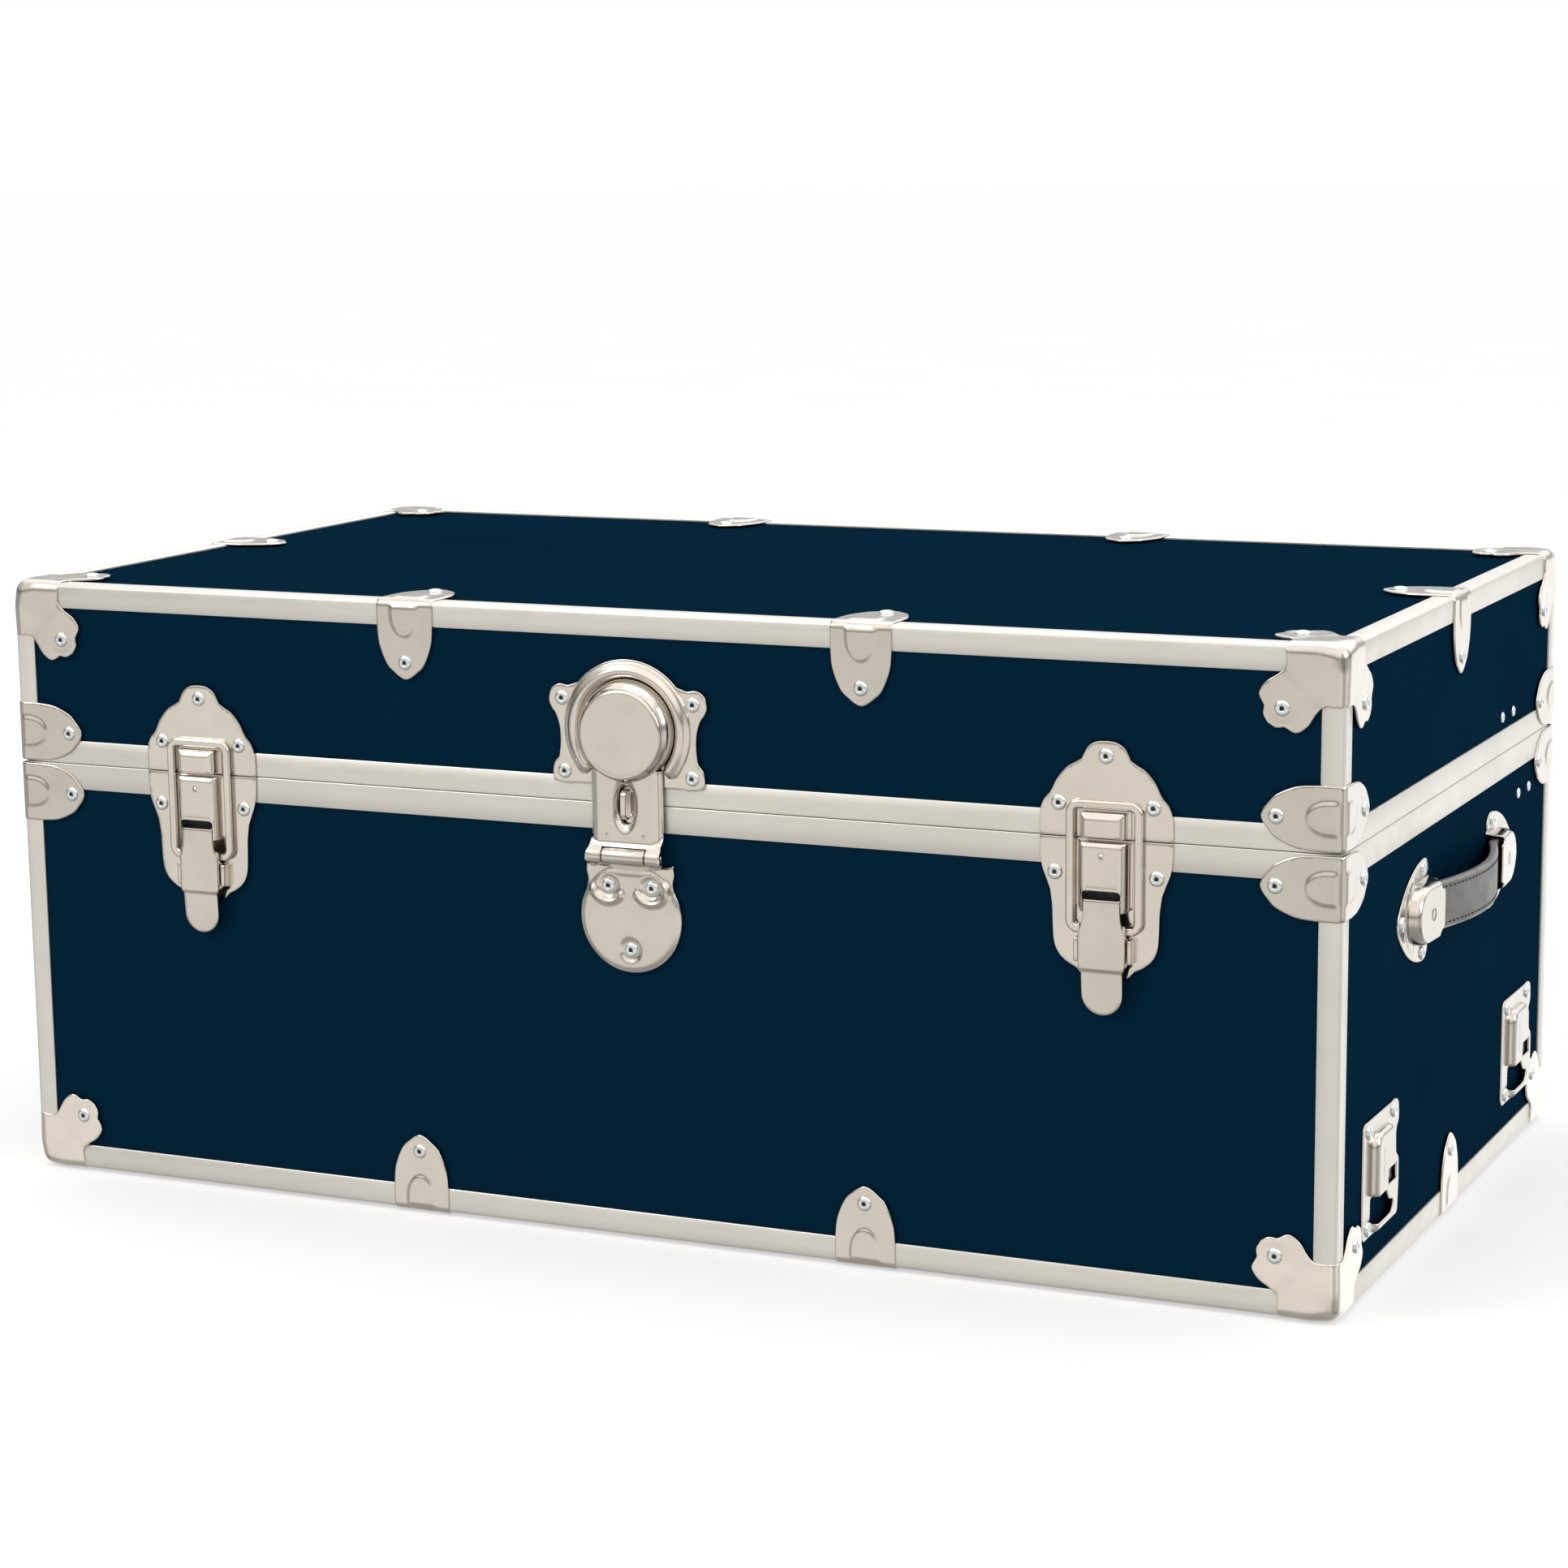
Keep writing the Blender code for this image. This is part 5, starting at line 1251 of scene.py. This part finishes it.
def make_hasp():
    """Hasp: a strap with a dished oval hole and rolled edges, under a deep round lock cap."""
    wide = 22.0 * MM
    ear = flowing(scaled([(22.0, 226.0), (23.0, 221.6), (23.2, 217.2), (21.0, 213.9), (17.2, 214.0), (14.2, 216.8)]), 4)
    half = scaled([(22.0, 268.5)]) + ear + [(13.6 * MM, 219.0 * MM), (13.6 * MM, HASP_V + 5.2 * MM)]
    outline = half + [(-u, v) for u, v in reversed(half)]
    oval = arc((0, STAPLE_V), (5.8 * MM, 11.4 * MM), 0, 354, 59)
    dots = scaled([(-11.4, 231.4), (11.4, 231.4)])

    def height(u, v):
        panel = 0.9 * MM * ease((18.6 * MM - np.abs(u)) / (2.0 * MM))
        panel *= ease((v - 226.5 * MM) / (2.5 * MM))
        rail = 0.35 * MM * bump(np.abs(u) - 18.2 * MM, 1.5 * MM)
        ratio = np.hypot(u / 5.8, (v - STAPLE_V) / 11.4) / MM
        dish = 2.2 * MM * (1 - ease((ratio - 0.85) / 0.6))
        lip = 0.2 * MM * bump(ratio - 1.55, 0.25)
        side = 2.6 * MM * ease((np.abs(u) - 19.6 * MM) / (2.6 * MM)) * ease((v - 228 * MM) / (3 * MM))
        stud = sum(0.28 * MM * bump(np.hypot(u - a, v - b), 1.7 * MM) for a, b in dots)
        ends = ease((v - 224 * MM) / (5 * MM))
        curl = (HASP_W + 4.9 * MM) - 0.15 * MM
        ear_w = HASP_W + np.sqrt(np.clip((5.1 * MM) ** 2 - (v - HASP_V) ** 2, (2 * MM) ** 2, None))
        flat = 5.4 * MM + panel + rail - dish + lip + stud - side
        return flat * ends + np.minimum(ear_w, curl) * (1 - ends)

    rings = [
        arc((0, STAPLE_V), (5.8 * MM * k, 11.4 * MM * k), 0, 354, 59) for k in (1.14, 1.21, 1.28, 1.35, 1.42, 1.5, 1.6, 1.7)
    ]
    rails = [[(sign * u * MM, v * MM) for v in np.arange(227, 268, 1.4)] for sign in (-1, 1)
             for u in (16.2, 16.9, 17.6, 18.3, 19.0, 19.7, 20.4, 21.1)]
    spots = [arc(dot, r * MM, 0, 330, 11) for dot in dots for r in (0.01, 0.5, 1.0, 1.6)]
    strap = relief([outline, oval], height, roll=0.6 * MM, step=1.3 * MM, features=rings + rails + spots)
    parts = [strap]
    for sign in (-1, 1):
        span = sorted((sign * 21.1 * MM, sign * 22.0 * MM))
        parts.append(soft_block(span, (230 * MM, 266 * MM), (1.6 * MM, 3.0 * MM), 0.3 * MM, 2))
        low, high = sorted((sign * 13.5 * MM, sign * 21.8 * MM))
        parts.append(soft_rod((0, HASP_V, HASP_W), 5.0 * MM, low, high, "u", 0.8 * MM, 32))

    outside = scaled([(28.7, 1.9), (28.7, 2.7), (28.4, 4.0), (27.9, 5.6), (27.2, 7.2), (26.1, 8.8), (25.2, 9.7)])
    outside += arc((23.2 * MM, 9.9 * MM), (2.0 * MM, 1.9 * MM), 10, 90, 8)
    outside += scaled([(22.3, 11.7), (21.3, 11.62), (17.5, 11.7), (10, 11.9), (0, 12.0)])
    inside = scaled([(0, 10.8), (22.6, 10.8), (25.4, 8.4), (27.4, 1.9)])
    cap = turned(inside + outside, Matrix.Translation((0, LOCK_V, 0)), 96)
    lean = np.clip((cap[0][:, 2] - 2 * MM) / (10 * MM), 0, 1)
    cap[0][:, 1] -= 1.4 * MM * lean
    parts.append(cap)
    piece = add_piece("hasp_strap", placed(merged(*parts), FRONT), NICKEL, "hasp")
    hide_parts("hasp")


# ---------------------------------------------------------------- back hinges


def make_hinges():
    """Leaves with rounded corners and barrels; the pin belongs to the base leaf."""
    axis_v = JOINTS["lid_hinge"]["pos_m"][2] - LOW_Z
    axis_w = JOINTS["lid_hinge"]["pos_m"][1] - BACK_Y
    half, centre, leaf, knuckle_r = 27 * MM, 11 * MM, 34 * MM, 3.2 * MM
    for side, _ in SIDES:
        low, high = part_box(f"hinge_base_leaf_{side}")
        place = BACK @ Matrix.Translation((-(low.x + high.x) / 2, 0, 0))
        for body, sign in (("base", -1), ("lid", 1)):
            near, far = axis_v + sign * GAP, axis_v + sign * leaf
            outline = rounded_rectangle(half, min(near, far), max(near, far), 5 * MM, 6)

            def height(u, v, sign=sign):
                return OUT + 0.5 * MM * bump(np.abs(u) - 9 * MM, 2 * MM) * ease((sign * (v - axis_v) - 6 * MM) / (3 * MM))

            parts = [relief([outline], height, step=1.8 * MM, back=False, floor=GAP)]
            spans = ((-centre, centre),) if body == "lid" else ((centre + GAP, half), (-half, -centre - GAP))
            for first, last in spans:
                parts.append(soft_rod((0, axis_v, axis_w), knuckle_r, first, last, "u", 0.5 * MM))
                web = sorted((axis_v + sign * 3.1 * MM, axis_v + sign * GAP))
                parts.append(soft_block((first, last), web, (OUT - 0.2 * MM, axis_w), 0.2 * MM, 1))
            if body == "base":
                for end in (-1, 1):
                    ball = sorted((end * (half - 0.2 * MM), end * (half + 1.2 * MM)))
                    parts.append(soft_rod((0, axis_v, axis_w), 2.0 * MM, *ball, "u", 0.6 * MM, 20))
            piece = add_piece(
                f"hinge_{body}_{side}", placed(merged(*parts), place), NICKEL, body
            )
            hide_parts(f"hinge_{body}_leaf_{side}")
            for u, rise in ((-18, 12), (18, 12), (0, 26)):
                rivet(body, place, u * MM, axis_v + sign * rise * MM, OUT)


# ---------------------------------------------------------------- end handles

HANDLE_INNER = 65 * MM         # mouth of a cap, from the handle's middle
POCKET_OUTER = 109 * MM
STRAP_THICK = 4.8 * MM


def strap_line():
    """The strap's middle, as (u, w): a round bow between the two caps, straight inside them."""
    bowed, ends = 69 * MM, 76 * MM
    line = []
    for u in np.linspace(-ends, ends, 61):
        share = min(1, abs(u) / bowed)
        line.append((u, 2.5 * MM + 12.4 * MM * (1 - share**2) ** 1.22))
    return line


def make_strap(place, end, handle_v):
    """Leather strap: plump rounded section, burnished edges, a row of stitches by each edge."""
    half, thick = 13.6 * MM, STRAP_THICK
    line = strap_line()
    verts, faces = [], []
    around = []
    for a, b in rounded_rectangle(half, -thick / 2, thick / 2, 1.5 * MM, 5):
        crown = 0.35 * MM * (1 - (a / half) ** 2) if b > 0 else 0
        around.append((a, b + crown))
    around = dense(around, 2.6 * MM)
    size = len(around)
    normals = []
    for n, (u, w) in enumerate(line):
        before, after = line[max(n - 1, 0)], line[min(n + 1, len(line) - 1)]
        along = Vector((after[0] - before[0], after[1] - before[1])).normalized()
        normals.append(Vector((-along.y, along.x)))
        for a, b in around:
            spot = Vector((u, w)) + normals[-1] * b
            verts.append((spot.x, handle_v + a, spot.y))
    for n in range(len(line) - 1):
        for k in range(size):
            j = (k + 1) % size
            faces.append((n * size + k, n * size + j, (n + 1) * size + j, (n + 1) * size + k))
    faces += [tuple(range(size)), tuple(range((len(line) - 1) * size, len(line) * size))]
    strap = placed((np.array(verts), faces), place)
    centre_z = LOW_Z + handle_v

    def is_edge(polygon):
        return abs(polygon.center.z - centre_z) > half - 1.5 * MM

    piece = add_piece(
        f"strap_{end}", strap, LEATHER, f"handle_{end}", 0, 50, LEATHER_EDGE, is_edge
    )
    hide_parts(f"handle_strap_{end}")

    stitches = []
    long, pitch = 2.3 * MM, 4.4 * MM
    spots = np.array(line)
    for row in (-1, 1):
        for k in range(-14, 15):
            u = k * pitch
            w = np.interp(u, spots[:, 0], spots[:, 1])
            slope = (np.interp(u + MM, spots[:, 0], spots[:, 1]) - w) / MM
            along = Vector((1, 0, slope)).normalized()
            lift = Vector((-slope, 0, 1)).normalized()
            seat = Vector((u, handle_v + row * 10.2 * MM, w)) + lift * (thick / 2 + 0.12 * MM)
            turn = Matrix((along, lift.cross(along), lift)).transposed().to_4x4()
            stitch = soft_rod((0, 0, 0), 0.42 * MM, -long / 2, long / 2, "u", 0.4 * MM, 10)
            stitches.append(placed(stitch, place @ Matrix.Translation(seat) @ turn))
    add_piece(f"stitches_{end}", merged(*stitches), THREAD, f"handle_{end}")


def make_handle_cap(place, end, where, sign, handle_v):
    """Stamped D-shaped cap: a flange with three rivets and a pocket that holds the strap."""
    floor_w = GAP - PANEL
    flange_w = floor_w + SHEET
    inner, pocket_r = HANDLE_INNER, 16.8 * MM
    middle = POCKET_OUTER - 19 * MM
    upper = scaled([(65, 10.4), (66.2, 11.2), (69.6, 11.8), (71.4, 13.2), (71.0, 14.8), (68.6, 15.8), (65.4, 16.2)])
    upper += scaled([(64.8, 17.2), (65.2, 18.0), (66.2, 18.8)])
    upper += flowing(scaled([(66.2, 18.8), (65.4, 21.5), (66.8, 25.2), (71.2, 28.4), (77.0, 28.9)]), 4)[1:]
    upper += flowing(scaled([(77.0, 28.9), (85.6, 27.6), (95.2, 25.0), (105.6, 20.6), (115.2, 14.4),
                             (122.2, 8.6), (126.0, 4.2), (127.0, 0)]), 4)[1:]
    outline = [(u, handle_v + v) for u, v in upper] + [(u, handle_v - v) for u, v in reversed(upper[:-1])]
    wall = 2.6 * MM
    core_u, core_v = 19 * MM - wall, pocket_r - wall
    pocket = [(inner - 12 * MM, handle_v + core_v)]
    pocket += arc((middle, handle_v), (core_u, core_v), 90, -90, 24)
    pocket += [(inner - 12 * MM, handle_v - core_v)]
    mark = (85 * MM, handle_v)

    def height(u, v):
        """Flange, a faint step, then a pocket that slopes down from its mouth and has round walls."""
        spots = np.stack([u, v], 1)
        within = is_inside(spots, pocket)
        away = np.where(within, 0, line_distance(spots, pocket, True))
        rise = np.sqrt(np.clip(1 - (away / wall) ** 2, 0, 1)) * 0.75 + 0.25 * (1 - ease(away / (wall * 1.3)))
        top = 9.5 * MM - 2.4 * MM * np.clip((u - inner) / (40 * MM), 0, 1)
        crown = 0.3 * MM * bump(v - handle_v, 22 * MM)
        dent = 0.5 * MM * bump(np.hypot(u - mark[0], v - mark[1]) - 3.1 * MM, 1.0 * MM)
        step = 0.9 * MM * (1 - ease((away - 6.2 * MM) / (2.2 * MM))) * ease((u - 92 * MM) / (9 * MM))
        return flange_w + step + (top - flange_w - step + crown) * rise - dent * within

    offsets = []
    for reach in (-0.8, 0.0, 0.5, 1.0, 1.5, 1.9, 2.2, 2.45, 2.8, 3.4, 5.4, 6.6, 7.4, 8.4):
        out = reach * MM
        ring = [(u * MM, handle_v + core_v + out) for u in np.arange(66.2, 89.6, 1.5)]
        ring += arc((middle, handle_v), (core_u + out, core_v + out), 90, -90, 34)
        ring += [(u * MM, handle_v - core_v - out) for u in np.arange(89.5, 66.0, -1.5)]
        offsets.append(ring)
    offsets += [arc(mark, r * MM, 0, 345, 23) for r in (2.1, 2.6, 3.1, 3.6, 4.1)]
    cap = relief([outline], height, thickness=1.0 * MM, roll=0.5 * MM, step=1.5 * MM, features=offsets)
    flip = Matrix.Diagonal((sign, 1, 1, 1))
    piece = add_piece(
        f"cap_handle_{end}_{where}", placed(cap, place @ flip), NICKEL, "base", 0, 45
    )
    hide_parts(f"handle_cap_{end}_{where}")
    for u, v in ((77.0, 23.6), (77.0, -23.6), (118.6, 0)):
        rivet("base", place, sign * u * MM, handle_v + v * MM, flange_w)


def make_handles():
    for end, place in ENDS.items():
        low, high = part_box(f"handle_strap_{end}")
        handle_v = (low.z + high.z) / 2 - LOW_Z
        back = (low.y + high.y) / 2 - MID_Y
        place = place @ Matrix.Translation((back if end == "right" else -back, 0, 0))
        make_strap(place, end, handle_v)
        front = 1 if end == "left" else -1
        make_handle_cap(place, end, "front", front, handle_v)
        make_handle_cap(place, end, "back", -front, handle_v)


# ---------------------------------------------------------------- wheel plates


def grown(ring, reach):
    """The convex-ish ring moved outward by reach, with round corners."""
    points = []
    for n, spot in enumerate(ring):
        before, after = ring[n - 1], ring[(n + 1) % len(ring)]
        first = atan2(before[0] - spot[0], spot[1] - before[1])
        second = atan2(spot[0] - after[0], after[1] - spot[1])
        turn = (second - first + pi) % (2 * pi) - pi
        if turn < 0:
            half = first + turn / 2
            points.append((spot[0] + reach * cos(half), spot[1] + reach * sin(half)))
            continue
        for share in (0, 1) if turn < 0.3 else (0, 0.25, 0.5, 0.75, 1):
            angle = first + turn * share
            points.append((spot[0] + reach * cos(angle), spot[1] + reach * sin(angle)))
    return points


def make_wheel_plate(where):
    """Socket for a clip-on wheel: flange, raised channel, square hole, lower mouth, eared corner."""
    low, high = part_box(f"wheel_plate_{where}")
    place = RIGHT @ Matrix.Translation(((low.y + high.y) / 2 - MID_Y, (low.z + high.z) / 2 - LOW_Z, 0))
    floor_w = GAP - PANEL
    flange_w = floor_w + SHEET
    top = 3.7 * MM
    outline = scaled([(-35, -27.5)] + arc((-30, -27.5), 5, 180, 270, 4) + [(22, -32.5), (25.2, -30.8)])
    outline += flowing(scaled([(25.2, -30.8), (26, -24), (26.4, -10), (28.6, -1.0), (30.2, 1.6)]), 3)
    outline += flowing(scaled([(30.8, 1.6), (30.0, 5.0), (30.0, 12.0), (31.4, 16.0), (35.0, 18.4)]), 3)[1:]
    outline += flowing(scaled([(35.0, 18.4), (35.0, 24.0), (33.4, 30.0), (27.4, 32.5), (20.0, 32.2)]), 4)[1:]
    outline += scaled([(-30, 32.5)] + arc((-30, 27.5), 5, 90, 180, 4)[1:])
    square = scaled([(2, -9), (17.5, -9), (17.5, -0.5), (2, -0.5)])
    mouth = scaled([(-19.6, -24), (-17.6, -26), (1, -26)])
    mouth += flowing(scaled([(1, -26), (8.4, -25.4), (12.4, -22.6), (11.4, -19.2), (5.0, -17.6), (1.4, -14.4), (-1.0, -11.0)]), 4)[1:]
    mouth += scaled([(-18.0, -11), (-19.6, -12.6)])
    core = scaled([(-15.4, -28.6), (18.4, -28.6), (20.0, -27.0), (21.6, -12), (21.2, 0.0), (20.0, 2.4), (16.4, 5.0)])
    core += scaled([(15.6, 7.0), (15.0, 15.6)] + arc((9.0, 14.6), 6, 15, 90, 6) + [(-9.4, 20.6)])
    core += scaled(arc((-9.4, 14.6), 6, 90, 180, 7)[1:])
    wall = 2.6 * MM

    def height(u, v):
        """Flat flange and a channel with round shoulders, ribbed along its length."""
        spots = np.stack([u, v], 1)
        within = is_inside(spots, core)
        away = np.where(within, 0, line_distance(spots, core, True))
        rise = 0.6 * np.sqrt(np.clip(1 - (away / wall) ** 2, 0, 1)) + 0.4 * (1 - ease(away / (wall * 1.2)))
        rib = 0.4 * MM * bump(u + 7.5 * MM, 2.0 * MM) * ease((v + 6 * MM) / (4 * MM)) * ease((17 * MM - v) / (4 * MM))
        return flange_w + (top - flange_w - rib) * rise

    features = []
    for grow in (0.0, 0.5, 1.0, 1.5, 1.9, 2.25, 2.6, 3.1):
        ring = grown(core, grow * MM)
        features.append(dense(ring, 1.4 * MM))
    for u in (-9.5, -8.5, -7.5, -6.5, -5.5):
        features.append([(u * MM, v * MM) for v in np.arange(-9, 19, 1.4)])
    plate = relief([outline, square, mouth], height, roll=0.45 * MM, step=1.5 * MM, features=features)
    clip_area = scaled([(-1, -10.5), (19.5, -10.5), (19.5, 2), (-1, 2)])
    clip = relief([clip_area], lambda u, v: 1.2 * MM + 0 * u, thickness=0.4 * MM, roll=0.1 * MM, step=4 * MM)
    piece = add_piece(
        f"wheel_socket_{where}", placed(plate, place), NICKEL, "base", 0, 45
    )
    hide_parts(f"wheel_plate_{where}")
    add_piece(f"wheel_clip_{where}", placed(clip, place), STEEL, "base")
    for u, v in ((-24.5, -27.2), (-24.5, 26.4), (24, 27)):
        rivet("base", place, u * MM, v * MM, flange_w)


# ---------------------------------------------------------------- lid stay


def stay_bar(start, end, low, high, holes):
    """Flat bar with round ends and holes, drawn as (y, z)."""
    half = 6.0 * MM
    angle = atan2(end[1] - start[1], end[0] - start[0]) * 180 / pi
    outline = arc(end, half, angle - 90, angle + 90, 14) + arc(start, half, angle + 90, angle + 270, 14)
    rings = [arc(hole, radius, 0, 348.75, 31) for hole, radius in holes]
    length = hypot(end[0] - start[0], end[1] - start[1])

    def height(y, z):
        along = ((y - start[0]) * (end[0] - start[0]) + (z - start[1]) * (end[1] - start[1])) / length
        across = ((y - start[0]) * (end[1] - start[1]) - (z - start[1]) * (end[0] - start[0])) / length
        groove = 0.35 * MM * bump(across, 2.6 * MM) * ease((along - 12 * MM) / (4 * MM))
        return high - groove * ease((length - 12 * MM - along) / (4 * MM))

    return relief([outline, *rings], height, thickness=high - low, roll=0.3 * MM, step=1.8 * MM)


def make_stay():
    """Brackets riveted inside the right end, and two arms that fold beside it."""
    into = Matrix(((0, 0, -1, 0), (1, 0, 0, 0), (0, 1, 0, 0), (0, 0, 0, 1)))
    pin_r = 3.0 * MM
    base_pin = Vector(JOINTS["stay_lower_pivot"]["pos_m"])
    lid_pin = Vector(JOINTS["stay_upper_pivot"]["pos_m"])
    hinge = Vector(JOINTS["lid_hinge"]["pos_m"])
    knee = base_pin + lid_pin - hinge
    for node, body, pin in (
        ("stay_base_bracket", "base", base_pin), ("stay_lid_bracket", "lid", lid_pin)
    ):
        low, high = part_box(node)
        plate_in = high.x - 1.5 * MM
        outline = [
            (pin.y + y, pin.z + z) for y, z in rounded_rectangle(20 * MM, -8 * MM, 8 * MM, 5 * MM, 6)
        ]
        plate = relief([outline], lambda y, z: -plate_in + 0 * y, thickness=1.4 * MM, roll=0.4 * MM, step=2 * MM)
        top = -low.x
        post = turned(
            [(0, -plate_in - 0.2 * MM), (pin_r, -plate_in - 0.2 * MM), (pin_r, top - 0.3 * MM),
             (pin_r * 0.8, top), (pin_r * 0.35, top), (pin_r * 0.3, top - 0.4 * MM), (0, top - 0.4 * MM)],
            Matrix.Translation((pin.y, pin.z, 0)), 28,
        )
        piece = add_piece(f"{node}_plate", placed(merged(plate, post), into), STEEL, body)
        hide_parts(node)
        for step in (-13 * MM, 13 * MM):
            rivet(body, RIGHT, pin.y + step - MID_Y, pin.z - LOW_Z, PANEL_W, 3.2 * MM, 0.9 * MM)
            inside = face_frame((0, -1, 0), (0, 0, 1), (-1, 0, 0), (plate_in, pin.y + step, pin.z))
            rivet(body, inside, 0, 0, 0, 2.6 * MM, 0.25 * MM)

    low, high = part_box("stay_lower_arm")
    lower_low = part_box("stay_upper_arm")[1].x + GAP
    points = [(point.y, point.z) for point in (base_pin, knee, lid_pin)]
    hole = pin_r + GAP
    lower = stay_bar(points[0], points[1], -(lower_low + 1.5 * MM), -lower_low, [(points[0], hole)])
    pin_top = -low.x
    knee_pin = turned(
        [(0, -lower_low - 0.8 * MM), (pin_r, -lower_low - 0.8 * MM), (pin_r, pin_top - 0.3 * MM),
         (pin_r * 0.8, pin_top), (pin_r * 0.35, pin_top), (pin_r * 0.3, pin_top - 0.4 * MM),
         (0, pin_top - 0.4 * MM)],
        Matrix.Translation((*points[1], 0)), 28,
    )
    piece = add_piece(
        "stay_arm_lower", placed(merged(lower, knee_pin), into), STEEL, "stay_lower_arm"
    )
    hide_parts("stay_lower_arm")
    low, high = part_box("stay_upper_arm")
    upper = stay_bar(points[2], points[1], -high.x, -low.x, [(points[2], hole), (points[1], hole)])
    piece = add_piece("stay_arm_upper", placed(upper, into), STEEL, "stay_upper_arm")
    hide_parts("stay_upper_arm")


def make_fittings():
    make_latches()
    make_lock_lid_plate()
    make_lock_shield()
    make_staple()
    make_hasp()
    make_hinges()
    make_handles()
    make_wheel_plate("front")
    make_wheel_plate("back")
    make_stay()




# ---------------------------------------------------------------- studio

# what polished metal sees: brightness along each axis of the room, from -1 to 1
ROOM = {
    "Y": ((-1.0, (0.93, 0.90, 0.84)), (-0.6, (1.0, 0.975, 0.93)), (0.2, (1.12, 1.10, 1.07)), (1.0, (1.3, 1.3, 1.29))),
    "Z": ((-1.0, 0.35), (-0.6, 0.5), (-0.4, 0.92), (-0.2, 1.0), (-0.04, 0.95), (0.07, 0.42), (0.15, 0.40),
          (0.28, 1.1), (0.65, 1.4), (1.0, 1.2)),
    "X": ((-1.0, 0.45), (-0.8, 0.5), (-0.66, 0.95), (0.0, 1.0), (0.55, 1.05), (0.7, 0.6), (0.85, 0.55), (1.0, 0.95)),
}


def make_studio():
    """White sweep, even light, and a darker warm room behind the camera for the metal to reflect."""
    scene = bpy.context.scene
    scene.view_settings.view_transform = "Standard"
    camera = bpy.data.objects.new("camera", bpy.data.cameras.new("camera"))
    camera.location = (0.92381, -2.03343, 0.61860)
    camera.rotation_euler = (1.3814, 0.0107, 0.4259)
    camera.data.lens = 85.59
    camera.data.sensor_width = 36
    camera.data.shift_x = -0.00644
    camera.data.shift_y = 0.03407
    scene.collection.objects.link(camera)
    scene.camera = camera

    bpy.ops.mesh.primitive_plane_add(size=60, location=(0, 0, -0.0008))
    floor = bpy.context.object
    floor.name = "floor"
    nodes = Nodes("pale_floor")
    tone = nodes.ramp(nodes.noise(3, 2), (0.3, (0.535, 0.535, 0.535)), (0.7, (0.545, 0.545, 0.545)))
    glow = {"Emission_Color": (1.0, 1.0, 1.0), "Emission_Strength": 0.45}
    floor.data.materials.append(nodes.finish(tone, 0.9, Specular_IOR_Level=0.0, **glow))
    floor.visible_glossy = False

    world = bpy.data.worlds.new("studio")
    scene.world = world
    world.use_nodes = True
    tree = world.node_tree
    background = tree.nodes["Background"]
    where = tree.nodes.new("ShaderNodeTexCoord")
    split = tree.nodes.new("ShaderNodeSeparateXYZ")
    tree.links.new(where.outputs["Generated"], split.inputs[0])

    def mixed(blend, share, first, second):
        node = tree.nodes.new("ShaderNodeMix")
        node.data_type = "RGBA"
        node.blend_type = blend
        for socket, value in zip((node.inputs[0], node.inputs[6], node.inputs[7]), (share, first, second)):
            if isinstance(value, bpy.types.NodeSocket):
                tree.links.new(value, socket)
            else:
                socket.default_value = value
        return node.outputs[2]

    room = (1, 1, 1, 1)
    for axis, stops in ROOM.items():
        spread = tree.nodes.new("ShaderNodeMapRange")
        spread.inputs["From Min"].default_value = -1
        tree.links.new(split.outputs[axis], spread.inputs["Value"])
        ramp = tree.nodes.new("ShaderNodeValToRGB")
        row = ramp.color_ramp.elements
        while len(row) < len(stops):
            row.new(0.5)
        for element, (spot, colour) in zip(row, stops):
            element.position = (spot + 1) / 2
            element.color = (*colour, 1) if isinstance(colour, tuple) else (colour,) * 3 + (1,)
        tree.links.new(spread.outputs["Result"], ramp.inputs["Fac"])
        room = mixed("MULTIPLY", 1.0, room, ramp.outputs["Color"])
    seen = tree.nodes.new("ShaderNodeLightPath")
    lit = mixed("MIX", seen.outputs["Is Glossy Ray"], (1.0, 1.0, 1.0, 1), room)
    tree.links.new(mixed("MIX", seen.outputs["Is Camera Ray"], lit, (1, 1, 1, 1)), background.inputs["Color"])
    background.inputs["Strength"].default_value = 1.0

    for name, place, aim, size, power, colour in (
        ("key", (-1.9, -2.2, 2.4), (0, 0, 0.2), 1.1, 26, (1.0, 0.98, 0.96)),
        ("right", (2.6, -0.4, 1.6), (0.3, 0, 0.2), 1.4, 14, (1.0, 1.0, 1.0)),
        ("top", (0.0, 0.3, 2.8), (0, 0, 0.3), 2.0, 10, (1.0, 1.0, 1.0)),
    ):
        lamp = bpy.data.objects.new(name, bpy.data.lights.new(name, "AREA"))
        lamp.location = place
        lamp.rotation_euler = (Vector(aim) - Vector(place)).to_track_quat("-Z", "Y").to_euler()
        lamp.data.size = size
        lamp.data.energy = power
        lamp.data.color = colour
        scene.collection.objects.link(lamp)


make_panels("base", "base_box")
make_panels("lid", "lid_box")
make_trims()
make_all_clamps()
make_fittings()
finish_rivets()
make_studio()
